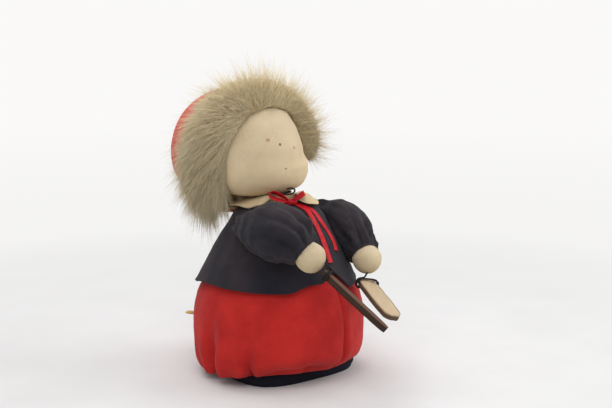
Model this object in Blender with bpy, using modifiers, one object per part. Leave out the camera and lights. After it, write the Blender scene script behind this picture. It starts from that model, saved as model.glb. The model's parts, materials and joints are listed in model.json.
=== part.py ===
"""Small stuffed cloth doll in winter dress, holding a pair of little wooden boards.

Metres, +Z up. The doll looks along -Y and its right hand is on -X. The origin is the centre of
the flat sole that it stands on, and the neck turns about the Z axis.
"""
import math

import bmesh
import bpy
from mathutils import Matrix, Vector

MM = 0.001
SEAT_GAP = 0.3 * MM
CUT_OVERRUN = 30.0 * MM
COLLECTION_NAME = "cloth_doll"

# Sole, the flat cloth-covered slab under the trousers
SOLE_HALF_WIDTH = 43.0 * MM
SOLE_HALF_DEPTH = 34.0 * MM
SOLE_HEIGHT = 10.0 * MM
SOLE_EDGE_ROUND = 3.2 * MM
SOLE_SQUARENESS = 2.5

# Trousers, a balloon of felt over wool stuffing
TROUSERS_RADIUS = 55.0 * MM
TROUSERS_TOP_Z = 66.0 * MM
TROUSERS_RIM_Z = 3.0 * MM
TROUSERS_RIM_RADIUS = 48.0 * MM
TROUSERS_FRONT_LIFT = 9.0 * MM
TROUSERS_BOTTOM_HOLE_RADIUS = 20.0 * MM
FELT_THICKNESS = 1.3 * MM
TROUSERS_FOLD_DEPTH = 1.1 * MM
TROUSERS_FOLD_COUNT = 13
STUFFING_CLEARANCE = 0.7 * MM
TROUSERS_WALL_SHARES = (
    (0.690, 1.000), (0.800, 0.955), (0.885, 0.895), (0.930, 0.820), (0.972, 0.690), (0.996, 0.540),
    (1.000, 0.380), (0.985, 0.245), (0.945, 0.135),
)

# Jacket and the stuffed torso in it
HEM_SET_IN = 2.0 * MM
JACKET_HEM_RADIUS = TROUSERS_RADIUS - HEM_SET_IN
JACKET_HEM_Z = 59.0 * MM
JACKET_TOP_Z = 110.5 * MM
JACKET_THICKNESS = 1.1 * MM
JACKET_FOLD_DEPTH = 1.0 * MM
JACKET_FOLD_COUNT = 11
JACKET_WALL_SHARES = (
    (0.240, 1.000), (0.340, 0.985), (0.470, 0.925), (0.547, 0.835), (0.594, 0.735), (0.670, 0.615),
    (0.783, 0.427), (0.880, 0.235), (0.958, 0.080), (1.000, 0.000),
)
JACKET_VENT_APEX_Z = 75.5 * MM
JACKET_VENT_RIGHT = 12.0 * MM
JACKET_VENT_LEFT = 13.5 * MM
TORSO_CLEARANCE = 0.35 * MM

# Head, hood and the fur round the face
HEAD_ASIDE = 1.6 * MM
HEAD_BACK = 18.0 * MM
HEAD_ABOVE_JACKET = 32.5 * MM
HEAD_CENTRE = Vector((-HEAD_ASIDE, HEAD_BACK, JACKET_TOP_Z + HEAD_ABOVE_JACKET))
HEAD_RADIUS = 33.5 * MM
HEAD_HALF_HEIGHT = 30.0 * MM
HEAD_CHEEK_SWELL_share = 0.055
HEAD_FULLNESS = 3.2
HEAD_YAW = math.radians(-14.0)
HEAD_ROLL = math.radians(2.0)
NECK_RADIUS = 8.5 * MM
NECK_THREAD_RADIUS = 0.8 * MM
HOOD_SET_BACK = 16.6 * MM
HOOD_DROP = 3.5 * MM
HOOD_HALF_WIDTH = 46.0 * MM
HOOD_HALF_DEPTH = 44.5 * MM
HOOD_HALF_HEIGHT = 42.5 * MM
FUR_SET_BACK = 1.0 * MM
FUR_TILT = math.radians(9.5)
FUR_RING_HALF_WIDTH = 45.5 * MM
FUR_RING_HALF_HEIGHT = 44.5 * MM
FUR_HALF_THICKNESS = 10.8 * MM
FUR_HALF_LENGTH = 13.0 * MM
FUR_LIP = 11.0 * MM
FUR_RIGHT_END_ANGLE = math.radians(142.0)
FUR_LEFT_END_ANGLE = math.radians(116.0)
FUR_END_TAPER_ANGLE = math.radians(26.0)
FUR_TUFT_DEPTH = 0.6 * MM
SHOULDER_CLEARANCE = 1.4 * MM

# Collar, its neckband and its two flaps, turned a little to the doll's right
COLLAR_TURN = math.radians(-15.0)
NECKBAND_RADIUS = 14.2 * MM
NECKBAND_FRONT_RISE = 4.0 * MM
COLLAR_OUTER_RADIUS = 27.0 * MM
COLLAR_ABOVE_JACKET = 0.5 * MM
COLLAR_SLOPE = 4.0 * MM
COLLAR_INNER_Z = JACKET_TOP_Z + COLLAR_ABOVE_JACKET
COLLAR_OUTER_Z = COLLAR_INNER_Z - COLLAR_SLOPE
COLLAR_THICKNESS = 0.9 * MM
COLLAR_FRONT_RISE = 3.0 * MM
COLLAR_POINT_LENGTH = 4.0 * MM
COLLAR_FRONT_ANGLE = math.radians(56.0)
COLLAR_POINT_ANGLE = math.radians(122.0)
COLLAR_BACK_ANGLE = math.radians(171.0)

# Arms
SHOULDER_Y = 2.0 * MM
SHOULDER_DROP = 8.5 * MM
SHOULDER_Z = JACKET_TOP_Z - SHOULDER_DROP
ARM_SPREAD = 31.0 * MM
ARM_DROP_RIGHT = 0.0
ARM_DROP_LEFT = math.radians(10.0)
SLEEVE_RADIUS = 19.0 * MM
SLEEVE_COLLAR_CLEARANCE = 2.2 * MM
HAND_RADIUS = 9.0 * MM
HAND_HALF_LENGTH = 10.0 * MM
HAND_BEYOND_HEM = 1.5 * MM
HAND_FORWARD = JACKET_HEM_RADIUS + HAND_BEYOND_HEM
HAND_BELOW_SHOULDER = 16.0 * MM
HAND_LATERAL = 27.0 * MM
WRIST_share = 0.86
HAND_TAPER_share = 0.3
HAND_AXIS_share = Vector((-0.08, 0.40, 0.91))
WRIST_THREAD_RADIUS = 0.7 * MM

# Wooden boards, a pair, each tied at its top under a hand
RIGHT_BOARD_LENGTH = 50.0 * MM
LEFT_BOARD_LENGTH = 44.0 * MM
BOARD_WIDTH = 13.0 * MM
BOARD_THICKNESS = 3.6 * MM
BOARD_TOP_WIDTH_share = 0.72
BOARD_TIP_WIDTH_share = 0.74
RIGHT_BOARD_INWARD = 2.1 * MM
RIGHT_BOARD_FORWARD = 8.7 * MM
RIGHT_BOARD_BELOW = 8.5 * MM
RIGHT_BOARD_ALONG_share = Vector((0.3178, -0.7036, -0.6356))
RIGHT_BOARD_FACING_share = Vector((0.48, -0.51, 0.73))
LEFT_BOARD_INWARD = 3.0 * MM
LEFT_BOARD_FORWARD = 3.106 * MM
LEFT_BOARD_BELOW = 14.779 * MM
LEFT_BOARD_ALONG_share = Vector((-0.402, -0.864, -0.303))
LEFT_BOARD_FACING_share = Vector((0.11, -0.32, 0.94))
TIE_RADIUS = 0.8 * MM
TIE_FROM_TOP = 3.5 * MM

# Ribbon, hook and peg
RIBBON_WIDTH = 3.4 * MM
RIBBON_THICKNESS = 0.5 * MM
KNOT_RADIUS = 2.3 * MM
BOW_TURN = math.radians(-30.0)
BOW_LOOP_LENGTH = 12.5 * MM
BOW_LOOP_HALF_HEIGHT = 2.2 * MM
BOW_RIGHT_RISE = math.radians(27.0)
BOW_LEFT_RISE = math.radians(40.0)
HOOK_WIRE_RADIUS = 0.6 * MM
HOOK_HALF_LENGTH = 5.0 * MM
HOOK_HALF_HEIGHT = 1.9 * MM
PEG_RADIUS = 1.1 * MM
PEG_OUT = 4.5 * MM
PEG_IN = 14.0 * MM
PEG_Z = 37.0 * MM
PEG_ANGLE = math.radians(-136.0)
STITCH_RADIUS = 0.6 * MM


def make_material(name, colour, roughness, metallic=0.0):
    """A plain Principled material with the colour of the real piece."""
    material = bpy.data.materials.new(name)
    material.use_nodes = True
    shader = material.node_tree.nodes["Principled BSDF"]
    shader.inputs["Base Color"].default_value = (*colour, 1.0)
    shader.inputs["Roughness"].default_value = roughness
    shader.inputs["Metallic"].default_value = metallic
    return material


class Workshop:
    """Holds the two collections, the part's and the cutters'."""

    def __init__(self):
        for old in list(bpy.data.objects):
            bpy.data.objects.remove(old, do_unlink=True)
        self.parts = bpy.data.collections.new(COLLECTION_NAME)
        self.cutters = bpy.data.collections.new("cutters")
        bpy.context.scene.collection.children.link(self.parts)
        bpy.context.scene.collection.children.link(self.cutters)

    def add(self, name, mesh, material, parent=None, smooth_angle=math.radians(40.0)):
        """Put a finished mesh in the part's collection under its node's name."""
        part = bpy.data.objects.new(name, mesh)
        self.parts.objects.link(part)
        mesh.materials.clear()
        mesh.materials.append(material)
        mesh.shade_smooth()
        mesh.set_sharp_from_angle(angle=smooth_angle)
        if parent is not None:
            mesh.transform(Matrix.Translation(-parent.location))
            part.parent = parent
        return part

    def add_cutter(self, name, mesh):
        """Put a mesh that only cuts others in the cutters' collection."""
        cutter = bpy.data.objects.new(name, mesh)
        self.cutters.objects.link(cutter)
        cutter.hide_render = True
        cutter.display_type = "WIRE"
        return cutter

    def add_pivot(self, name, location):
        """An empty on a joint's axis, which carries the pieces that move on it."""
        pivot = bpy.data.objects.new(name, None)
        pivot.location = location
        self.parts.objects.link(pivot)
        bpy.context.view_layer.update()
        return pivot

    def baked(self, helper):
        """The evaluated mesh of a helper object, welded, with the helper removed."""
        self.parts.objects.link(helper)
        bpy.context.view_layer.update()
        depsgraph = bpy.context.evaluated_depsgraph_get()
        mesh = bpy.data.meshes.new_from_object(helper.evaluated_get(depsgraph))
        bpy.data.objects.remove(helper, do_unlink=True)
        tidy = bmesh.new()
        tidy.from_mesh(mesh)
        bmesh.ops.remove_doubles(tidy, verts=tidy.verts, dist=0.01 * MM)
        tidy.to_mesh(mesh)
        tidy.free()
        return mesh


def cut(part, cutter, operation="DIFFERENCE"):
    """Take the cutter out of the part."""
    boolean = part.modifiers.new("cut_" + cutter.name, "BOOLEAN")
    boolean.operation = operation
    boolean.object = cutter
    boolean.solver = "EXACT"


def turned(shop, profile, steps):
    """Turn a profile of (radius, height) points, given top to bottom, about Z."""
    mesh = bpy.data.meshes.new("profile")
    edges = [(i, i + 1) for i in range(len(profile) - 1)]
    mesh.from_pydata([(radius, 0.0, height) for radius, height in profile], edges, [])
    helper = bpy.data.objects.new("profile", mesh)
    screw = helper.modifiers.new("turn", "SCREW")
    screw.steps = steps
    screw.render_steps = steps
    screw.use_merge_vertices = True
    screw.merge_threshold = 0.01 * MM
    return shop.baked(helper)


def ball(segments, rings):
    """A unit sphere, to be scaled by named sizes."""
    mesh = bpy.data.meshes.new("ball")
    shape = bmesh.new()
    bmesh.ops.create_uvsphere(shape, u_segments=segments, v_segments=rings, radius=1.0)
    shape.to_mesh(mesh)
    shape.free()
    return mesh


def tube(shop, points, radii, resolution=2, cyclic=False):
    """A round tube along points, whose radius follows the list of radii."""
    curve = bpy.data.curves.new("route", "CURVE")
    curve.dimensions = "3D"
    curve.bevel_depth = 1.0
    curve.bevel_resolution = resolution
    curve.use_fill_caps = not cyclic
    spline = curve.splines.new("POLY")
    spline.points.add(len(points) - 1)
    spline.use_cyclic_u = cyclic
    for place, point, radius in zip(spline.points, points, radii):
        place.co = (*point, 1.0)
        place.radius = radius
    return shop.baked(bpy.data.objects.new("route", curve))


def ring_points(radius, steps):
    """Points of a circle about Z."""
    turns = [2.0 * math.pi * i / steps for i in range(steps)]
    return [Vector((radius * math.cos(turn), radius * math.sin(turn), 0.0)) for turn in turns]


def smooth_route(knots, count):
    """Points at even steps on a smooth curve through the knots."""
    knots = [Vector(knot) for knot in knots]
    ends = [knots[0] * 2.0 - knots[1]] + knots + [knots[-1] * 2.0 - knots[-2]]
    route = []
    for i in range(count):
        along = i / (count - 1) * (len(knots) - 1)
        k = min(int(along), len(knots) - 2)
        t = along - k
        p0, p1, p2, p3 = ends[k:k + 4]
        route.append(0.5 * ((2.0 * p1) + (p2 - p0) * t + (2.0 * p0 - 5.0 * p1 + 4.0 * p2 - p3) * t * t
                            + (3.0 * p1 - p0 - 3.0 * p2 + p3) * t ** 3))
    return route


def strip(shop, points, ups, width, thickness):
    """A flat ribbon along points: each section is a thin rectangle whose width lies along its up."""
    mesh = bpy.data.meshes.new("ribbon")
    shape = bmesh.new()
    rings = []
    for i, point in enumerate(points):
        ahead = points[min(i + 1, len(points) - 1)] - points[max(i - 1, 0)]
        across = ups[i].normalized()
        face = ahead.cross(across).normalized()
        corners = [(-0.5, -0.5), (0.5, -0.5), (0.5, 0.5), (-0.5, 0.5)]
        rings.append([shape.verts.new(point + across * width * a + face * thickness * b)
                      for a, b in corners])
    for ring, after in zip(rings, rings[1:]):
        for k in range(4):
            shape.faces.new((ring[k], ring[(k + 1) % 4], after[(k + 1) % 4], after[k]))
    shape.faces.new(rings[0])
    shape.faces.new(rings[-1])
    bmesh.ops.recalc_face_normals(shape, faces=shape.faces)
    shape.to_mesh(mesh)
    shape.free()
    return mesh


def reshape(mesh, rule):
    """Move every point of a mesh by a rule that takes and gives a place."""
    for vertex in mesh.vertices:
        vertex.co = rule(vertex.co.copy())
    return mesh


def front_angle(place):
    """Angle about Z from the doll's front, positive towards its left."""
    return math.atan2(place.x, -place.y)


def radius_at(shares, radius, low_z, high_z, z):
    """Radius of a wall of (radius share, height share) points, given top to bottom, at height z."""
    share = (z - low_z) / (high_z - low_z)
    points = sorted((height, wide) for wide, height in shares)
    if share <= points[0][0]:
        return points[0][1] * radius
    for (h0, w0), (h1, w1) in zip(points, points[1:]):
        if share <= h1:
            return (w0 + (w1 - w0) * (share - h0) / (h1 - h0)) * radius
    return points[-1][1] * radius


def jacket_radius(z):
    """Outer radius of the jacket at a height, without its folds."""
    return radius_at(JACKET_WALL_SHARES, JACKET_HEM_RADIUS, JACKET_HEM_Z, JACKET_TOP_Z, z)


def jacket_profile(outset):
    """The jacket's wall moved out from the body by a distance, top to bottom."""
    height = JACKET_TOP_Z - JACKET_HEM_Z
    return [(wide * JACKET_HEM_RADIUS + outset, JACKET_HEM_Z + share * height + outset)
            for wide, share in JACKET_WALL_SHARES]


def fold_wave(angle, count, phase):
    """Uneven gathers round a garment, between -1 and 1."""
    return 0.62 * math.sin(count * angle + phase) + 0.38 * math.sin((count - 4) * angle + 2.1 * phase)


def drop_trousers(place):
    """Gathers on the trousers' wall, and the rim that hangs low behind and is lifted in front."""
    radius = math.hypot(place.x, place.y)
    if radius < NECK_RADIUS:
        return place
    angle = front_angle(place)
    height = place.z / TROUSERS_TOP_Z
    gather = max(0.0, 1.0 - abs(height - 0.16) / 0.5)
    scale = 1.0 + TROUSERS_FOLD_DEPTH * gather * fold_wave(angle, TROUSERS_FOLD_COUNT, 0.7) / radius
    inner = SOLE_HALF_WIDTH
    outward = min(1.0, max(0.0, (radius - inner) / (TROUSERS_RIM_RADIUS - inner)))
    low = max(0.0, 1.0 - max(0.0, place.z - TROUSERS_RIM_Z) / (0.25 * TROUSERS_TOP_Z))
    facing = 0.5 + 0.5 * math.cos(angle - math.radians(5.0))
    lift = TROUSERS_FRONT_LIFT * facing * outward * low
    return Vector((place.x * scale, place.y * scale, place.z + lift))


def flare_jacket(place):
    """Soft folds that grow towards the jacket's hem."""
    radius = math.hypot(place.x, place.y)
    share = (place.z - JACKET_HEM_Z) / (JACKET_TOP_Z - JACKET_HEM_Z)
    depth = JACKET_FOLD_DEPTH * max(0.0, 1.0 - 1.6 * share)
    wave = 0.5 + 0.5 * fold_wave(front_angle(place), JACKET_FOLD_COUNT, 1.9)
    scale = 1.0 + depth * wave / radius
    return Vector((place.x * scale, place.y * scale, place.z))


def make_sole(shop, material):
    """The flat slab the doll stands on, an oval with soft corners."""
    mesh = bpy.data.meshes.new("sole")
    shape = bmesh.new()
    bmesh.ops.create_cone(shape, cap_ends=True, segments=40, radius1=1.0, radius2=1.0, depth=SOLE_HEIGHT)
    shape.to_mesh(mesh)
    shape.free()

    def oval(place):
        angle = math.atan2(place.y, place.x)
        power = 2.0 / SOLE_SQUARENESS
        x = math.copysign(abs(math.cos(angle)) ** power, math.cos(angle)) * SOLE_HALF_WIDTH
        y = math.copysign(abs(math.sin(angle)) ** power, math.sin(angle)) * SOLE_HALF_DEPTH
        return Vector((x, y, place.z + 0.5 * SOLE_HEIGHT))

    sole = shop.add("base_sole", reshape(mesh, oval), material)
    bevel = sole.modifiers.new("soft_edge", "BEVEL")
    bevel.width = SOLE_EDGE_ROUND
    bevel.segments = 2
    bevel.limit_method = "ANGLE"
    bevel.angle_limit = math.radians(50.0)
    return sole


def make_trousers(shop, felt, wool):
    """Felt bag with gathers, open at the waist and below, and the stuffing in it."""
    floor_z = SOLE_HEIGHT + SEAT_GAP
    wall = [(wide * TROUSERS_RADIUS, share * TROUSERS_TOP_Z) for wide, share in TROUSERS_WALL_SHARES]
    rim = [(TROUSERS_RIM_RADIUS + FELT_THICKNESS, 2.0 * TROUSERS_RIM_Z),
           (TROUSERS_RIM_RADIUS, TROUSERS_RIM_Z)]
    under = [(0.5 * (TROUSERS_RIM_RADIUS + SOLE_HALF_WIDTH) + 2.0 * SEAT_GAP, 0.7 * floor_z),
             (SOLE_HALF_WIDTH - 0.5 * SOLE_EDGE_ROUND, floor_z + SEAT_GAP),
             (TROUSERS_BOTTOM_HOLE_RADIUS, floor_z + SEAT_GAP)]
    mesh = reshape(turned(shop, wall + rim + under, 44), drop_trousers)
    trousers = shop.add("trousers", mesh, felt)
    solidify = trousers.modifiers.new("felt", "SOLIDIFY")
    solidify.thickness = FELT_THICKNESS
    solidify.offset = -1.0

    inset = FELT_THICKNESS + STUFFING_CLEARANCE
    bottom_z = floor_z + FELT_THICKNESS + STUFFING_CLEARANCE + 0.35 * TROUSERS_FRONT_LIFT
    core = [(0.0, TROUSERS_TOP_Z), (wall[0][0] - 3.0 * inset, TROUSERS_TOP_Z)]
    core += [(radius - inset, z - inset) for radius, z in wall if z > 1.3 * bottom_z]
    low_radius = radius_at(TROUSERS_WALL_SHARES, TROUSERS_RADIUS, 0.0, TROUSERS_TOP_Z, bottom_z) - 2.4 * inset
    core += [(low_radius, bottom_z), (0.0, bottom_z)]

    def follow_gathers(place):
        radius = math.hypot(place.x, place.y)
        if radius < NECK_RADIUS:
            return place
        height = place.z / TROUSERS_TOP_Z
        gather = max(0.0, 1.0 - abs(height - 0.16) / 0.5)
        wave = fold_wave(front_angle(place), TROUSERS_FOLD_COUNT, 0.7)
        scale = 1.0 + TROUSERS_FOLD_DEPTH * gather * wave / radius
        return Vector((place.x * scale, place.y * scale, place.z))

    stuffing = shop.add("trousers_stuffing", reshape(turned(shop, core, 44), follow_gathers), wool)
    return trousers, stuffing


def make_torso(shop, cotton):
    """Stuffed cotton torso inside the jacket."""
    inset = JACKET_THICKNESS + TORSO_CLEARANCE
    low_z = TROUSERS_TOP_Z + SEAT_GAP
    walls = [(radius - inset, z - inset) for radius, z in jacket_profile(0.0) if z - inset > low_z + inset]
    profile = [(0.0, JACKET_TOP_Z - inset)] + walls
    profile += [(jacket_radius(low_z) - 1.6 * inset, low_z), (0.0, low_z)]
    return shop.add("torso", turned(shop, profile, 36), cotton)


def make_jacket(shop, cloth):
    """A-line jacket, closed to the chest and parted below it."""
    mesh = reshape(turned(shop, jacket_profile(0.0), 56), flare_jacket)
    jacket = shop.add("jacket", mesh, cloth)
    solidify = jacket.modifiers.new("cloth", "SOLIDIFY")
    solidify.thickness = JACKET_THICKNESS
    solidify.offset = -1.0
    low_z = JACKET_HEM_Z - CUT_OVERRUN
    reach = (JACKET_VENT_APEX_Z - low_z) / (JACKET_VENT_APEX_Z - JACKET_HEM_Z)
    outline = [(0.0, JACKET_VENT_APEX_Z), (-JACKET_VENT_RIGHT * reach, low_z),
               (JACKET_VENT_LEFT * reach, low_z)]
    wedge = prism(outline, -JACKET_HEM_RADIUS - CUT_OVERRUN, -0.5 * JACKET_HEM_RADIUS)
    cut(jacket, shop.add_cutter("vent_cutter", wedge))
    return jacket


def prism(outline, y_front, y_back):
    """A straight prism along Y over an outline of (x, z) points."""
    mesh = bpy.data.meshes.new("prism")
    shape = bmesh.new()
    front = [shape.verts.new((x, y_front, z)) for x, z in outline]
    back = [shape.verts.new((x, y_back, z)) for x, z in outline]
    shape.faces.new(front)
    shape.faces.new(back)
    for i in range(len(outline)):
        k = (i + 1) % len(outline)
        shape.faces.new((front[i], front[k], back[k], back[i]))
    bmesh.ops.recalc_face_normals(shape, faces=shape.faces)
    shape.to_mesh(mesh)
    shape.free()
    return mesh


def torso_cutter(shop, name, outset, collar_reach):
    """The dressed torso as one solid, grown by a clearance, that trims the arms against it."""
    profile = jacket_profile(outset)
    top_z = COLLAR_INNER_Z + CUT_OVERRUN
    reach = COLLAR_OUTER_RADIUS + collar_reach
    shoulder_z = next(z for radius, z in profile if radius >= reach)
    walls = [(reach, top_z), (reach, shoulder_z)] + [p for p in profile if p[0] > reach]
    low = (profile[-1][0], JACKET_HEM_Z - CUT_OVERRUN)
    closed = [(0.0, top_z)] + walls + [low, (0.0, low[1])]
    return shop.add_cutter(name, turned(shop, closed, 72))


def collar_height(radius, angle):
    """Height of the collar's underside at a radius and an angle from its own front."""
    slope = (radius - NECKBAND_RADIUS) / (COLLAR_OUTER_RADIUS - NECKBAND_RADIUS)
    rise = COLLAR_FRONT_RISE * max(0.0, math.cos(angle)) ** 2
    return COLLAR_INNER_Z + (COLLAR_OUTER_Z - COLLAR_INNER_Z) * slope + rise


def make_collar(shop, cotton):
    """A standing neckband, and two cotton flaps that each end in a point over the shoulder."""
    inner = NECKBAND_RADIUS - COLLAR_THICKNESS
    outer = NECKBAND_RADIUS - SEAT_GAP
    low_z = JACKET_TOP_Z + SEAT_GAP
    top_z = COLLAR_INNER_Z + COLLAR_THICKNESS
    band = turned(shop, [(outer, top_z), (outer, low_z), (inner, low_z), (inner, top_z), (outer, top_z)], 36)

    def raise_front(place):
        facing = max(0.0, math.cos(front_angle(place) - COLLAR_TURN)) ** 2
        up = NECKBAND_FRONT_RISE * facing * (place.z - low_z) / (top_z - low_z)
        return Vector((place.x, place.y, place.z + up))

    shop.add("neckband", reshape(band, raise_front), cotton)
    for side, name in ((-1.0, "collar_flap_right"), (1.0, "collar_flap_left")):
        steps = 18
        rings = 3
        mesh = bpy.data.meshes.new(name)
        shape = bmesh.new()
        grid = []
        for i in range(steps + 1):
            angle = COLLAR_FRONT_ANGLE + (COLLAR_BACK_ANGLE - COLLAR_FRONT_ANGLE) * i / steps
            from_point = abs(angle - COLLAR_POINT_ANGLE) / (COLLAR_BACK_ANGLE - COLLAR_POINT_ANGLE)
            reach = COLLAR_OUTER_RADIUS + COLLAR_POINT_LENGTH * max(0.0, 1.0 - 1.6 * from_point)
            row = []
            for k in range(rings + 1):
                radius = NECKBAND_RADIUS + (reach - NECKBAND_RADIUS) * k / rings
                turn = side * angle + COLLAR_TURN
                z = collar_height(radius, angle)
                row.append(shape.verts.new((radius * math.sin(turn), -radius * math.cos(turn), z)))
            grid.append(row)
        for row, after in zip(grid, grid[1:]):
            for k in range(rings):
                shape.faces.new((row[k], after[k], after[k + 1], row[k + 1]))
        bmesh.ops.recalc_face_normals(shape, faces=shape.faces)
        if shape.faces[:][0].normal.z < 0.0:
            bmesh.ops.reverse_faces(shape, faces=shape.faces)
        shape.to_mesh(mesh)
        shape.free()
        flap = shop.add(name, mesh, cotton)
        solidify = flap.modifiers.new("cloth", "SOLIDIFY")
        solidify.thickness = COLLAR_THICKNESS
        solidify.offset = 1.0


def head_frame():
    """Turns and places a shape drawn about the head's centre, looking along -Y."""
    turn = Matrix.Rotation(HEAD_YAW, 4, "Z") @ Matrix.Rotation(-HEAD_ROLL, 4, "Y")
    return Matrix.Translation(HEAD_CENTRE) @ turn


def yaw_frame():
    """Places a shape drawn about the head's centre, turned but not tilted."""
    return Matrix.Translation(HEAD_CENTRE) @ Matrix.Rotation(HEAD_YAW, 4, "Z")


def shape_head(place):
    """Cotton ball with plump cheeks low down and a narrower crown, full and flat where it rests."""
    cheeks = 1.0 - HEAD_CHEEK_SWELL_share * place.z - 0.5 * HEAD_CHEEK_SWELL_share * place.z ** 2
    radius = HEAD_RADIUS * cheeks
    across = math.hypot(place.x, place.y)
    if place.z < 0.0 < across:
        radius *= (1.0 - min(1.0, -place.z) ** HEAD_FULLNESS) ** (1.0 / HEAD_FULLNESS) / across
    return Vector((place.x * radius, place.y * radius, place.z * HEAD_HALF_HEIGHT))


def neck_trim(shop, name, clearance):
    """Solid of the shoulders and collar, grown by a clearance, that trims what turns above them."""
    collar_top = COLLAR_INNER_Z + COLLAR_THICKNESS + clearance
    reach = COLLAR_OUTER_RADIUS + COLLAR_POINT_LENGTH + clearance
    sleeve_reach = ARM_SPREAD + SLEEVE_RADIUS
    profile = [(0.0, collar_top), (NECKBAND_RADIUS, collar_top),
               (reach, COLLAR_OUTER_Z + COLLAR_THICKNESS + clearance - 0.4 * COLLAR_POINT_LENGTH),
               (reach + clearance, 0.5 * (SHOULDER_Z + COLLAR_OUTER_Z) - 0.5 * SLEEVE_RADIUS + clearance),
               (sleeve_reach, SHOULDER_Z - SLEEVE_RADIUS), (sleeve_reach, JACKET_HEM_Z), (0.0, JACKET_HEM_Z)]
    return shop.add_cutter(name, turned(shop, profile, 48))


def make_head(shop, pivot, cotton, thread, pink, dark):
    """Head ball with its short neck, the tying thread and the stitched marks of the face."""
    mesh = reshape(ball(32, 20), shape_head)
    mesh.transform(head_frame())
    neck_low = JACKET_TOP_Z - JACKET_THICKNESS - TORSO_CLEARANCE + SEAT_GAP
    neck_top = HEAD_CENTRE.z - 0.5 * HEAD_HALF_HEIGHT
    profile = [(0.0, neck_top), (NECK_RADIUS, neck_top), (NECK_RADIUS, neck_low), (0.0, neck_low)]
    stub = shop.add_cutter("neck_stub", turned(shop, profile, 28))
    head = shop.add("head", mesh, cotton, pivot)
    cut(head, stub, "UNION")

    steps = 28
    points = ring_points(NECK_RADIUS + NECK_THREAD_RADIUS + SEAT_GAP, steps)
    ring = tube(shop, points, [NECK_THREAD_RADIUS] * steps, 1, True)
    ring.transform(Matrix.Translation((0.0, 0.0, neck_low + NECK_THREAD_RADIUS)))
    shop.add("neck_thread", ring, thread, pivot)

    marks = (("nose_stitch", -0.06, 0.17, dark), ("mouth_stitch", 0.03, -0.33, dark),
             ("eye_stitch_right", -0.27, 0.28, pink), ("eye_stitch_left", 0.25, 0.07, pink))
    for name, side, height, material in marks:
        drop = Vector((side, -math.sqrt(1.0 - side * side - height * height), height))
        stitch = reshape(ball(8, 6), lambda place: place * STITCH_RADIUS)
        place = head_frame() @ shape_head(drop)
        outward = (place - HEAD_CENTRE).normalized()
        stitch.transform(Matrix.Translation(place + outward * (STITCH_RADIUS + SEAT_GAP)))
        shop.add(name, stitch, material, pivot)
    return head


def grown_head(shop, name):
    """The head's shape with its clearance, to cut room for the head in what fits round it."""
    mesh = reshape(ball(32, 20), shape_head)
    mesh.transform(head_frame() @ Matrix.Scale(1.0 + 2.0 * SEAT_GAP / HEAD_HALF_HEIGHT, 4))
    return shop.add_cutter(name, mesh)


def make_hood(shop, pivot, felt):
    """Felt hood with its wadding, over the back of the head and open towards the face."""
    def bag(place):
        return Vector((place.x * HOOD_HALF_WIDTH, place.y * HOOD_HALF_DEPTH, place.z * HOOD_HALF_HEIGHT))

    mesh = reshape(ball(34, 20), bag)
    shape = bmesh.new()
    shape.from_mesh(mesh)
    edge = Vector((0.0, FUR_SET_BACK + FUR_HALF_LENGTH + SEAT_GAP - HOOD_SET_BACK, 0.0))
    normal = Vector((0.0, -math.cos(FUR_TILT), -math.sin(FUR_TILT)))
    everything = shape.verts[:] + shape.edges[:] + shape.faces[:]
    bisected = bmesh.ops.bisect_plane(shape, geom=everything, plane_co=edge, plane_no=normal,
                                      clear_outer=True)
    rim = [piece for piece in bisected["geom_cut"] if isinstance(piece, bmesh.types.BMEdge)]
    bmesh.ops.contextual_create(shape, geom=rim)
    bmesh.ops.recalc_face_normals(shape, faces=shape.faces)
    shape.to_mesh(mesh)
    shape.free()
    mesh.transform(yaw_frame() @ Matrix.Translation((0.0, HOOD_SET_BACK, -HOOD_DROP)))
    hood = shop.add("hood", mesh, felt, pivot)
    cut(hood, grown_head(shop, "hood_head_cutter"))
    cut(hood, neck_trim(shop, "hood_trim_cutter", SHOULDER_CLEARANCE))
    return hood


def fur_centre(angle):
    """Middle of the fur ring at an angle from its top, in the head's turned frame."""
    across = FUR_RING_HALF_WIDTH * math.sin(angle)
    up = FUR_RING_HALF_HEIGHT * math.cos(angle)
    return Vector((across, FUR_SET_BACK - math.tan(FUR_TILT) * up, up - HOOD_DROP))


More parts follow.
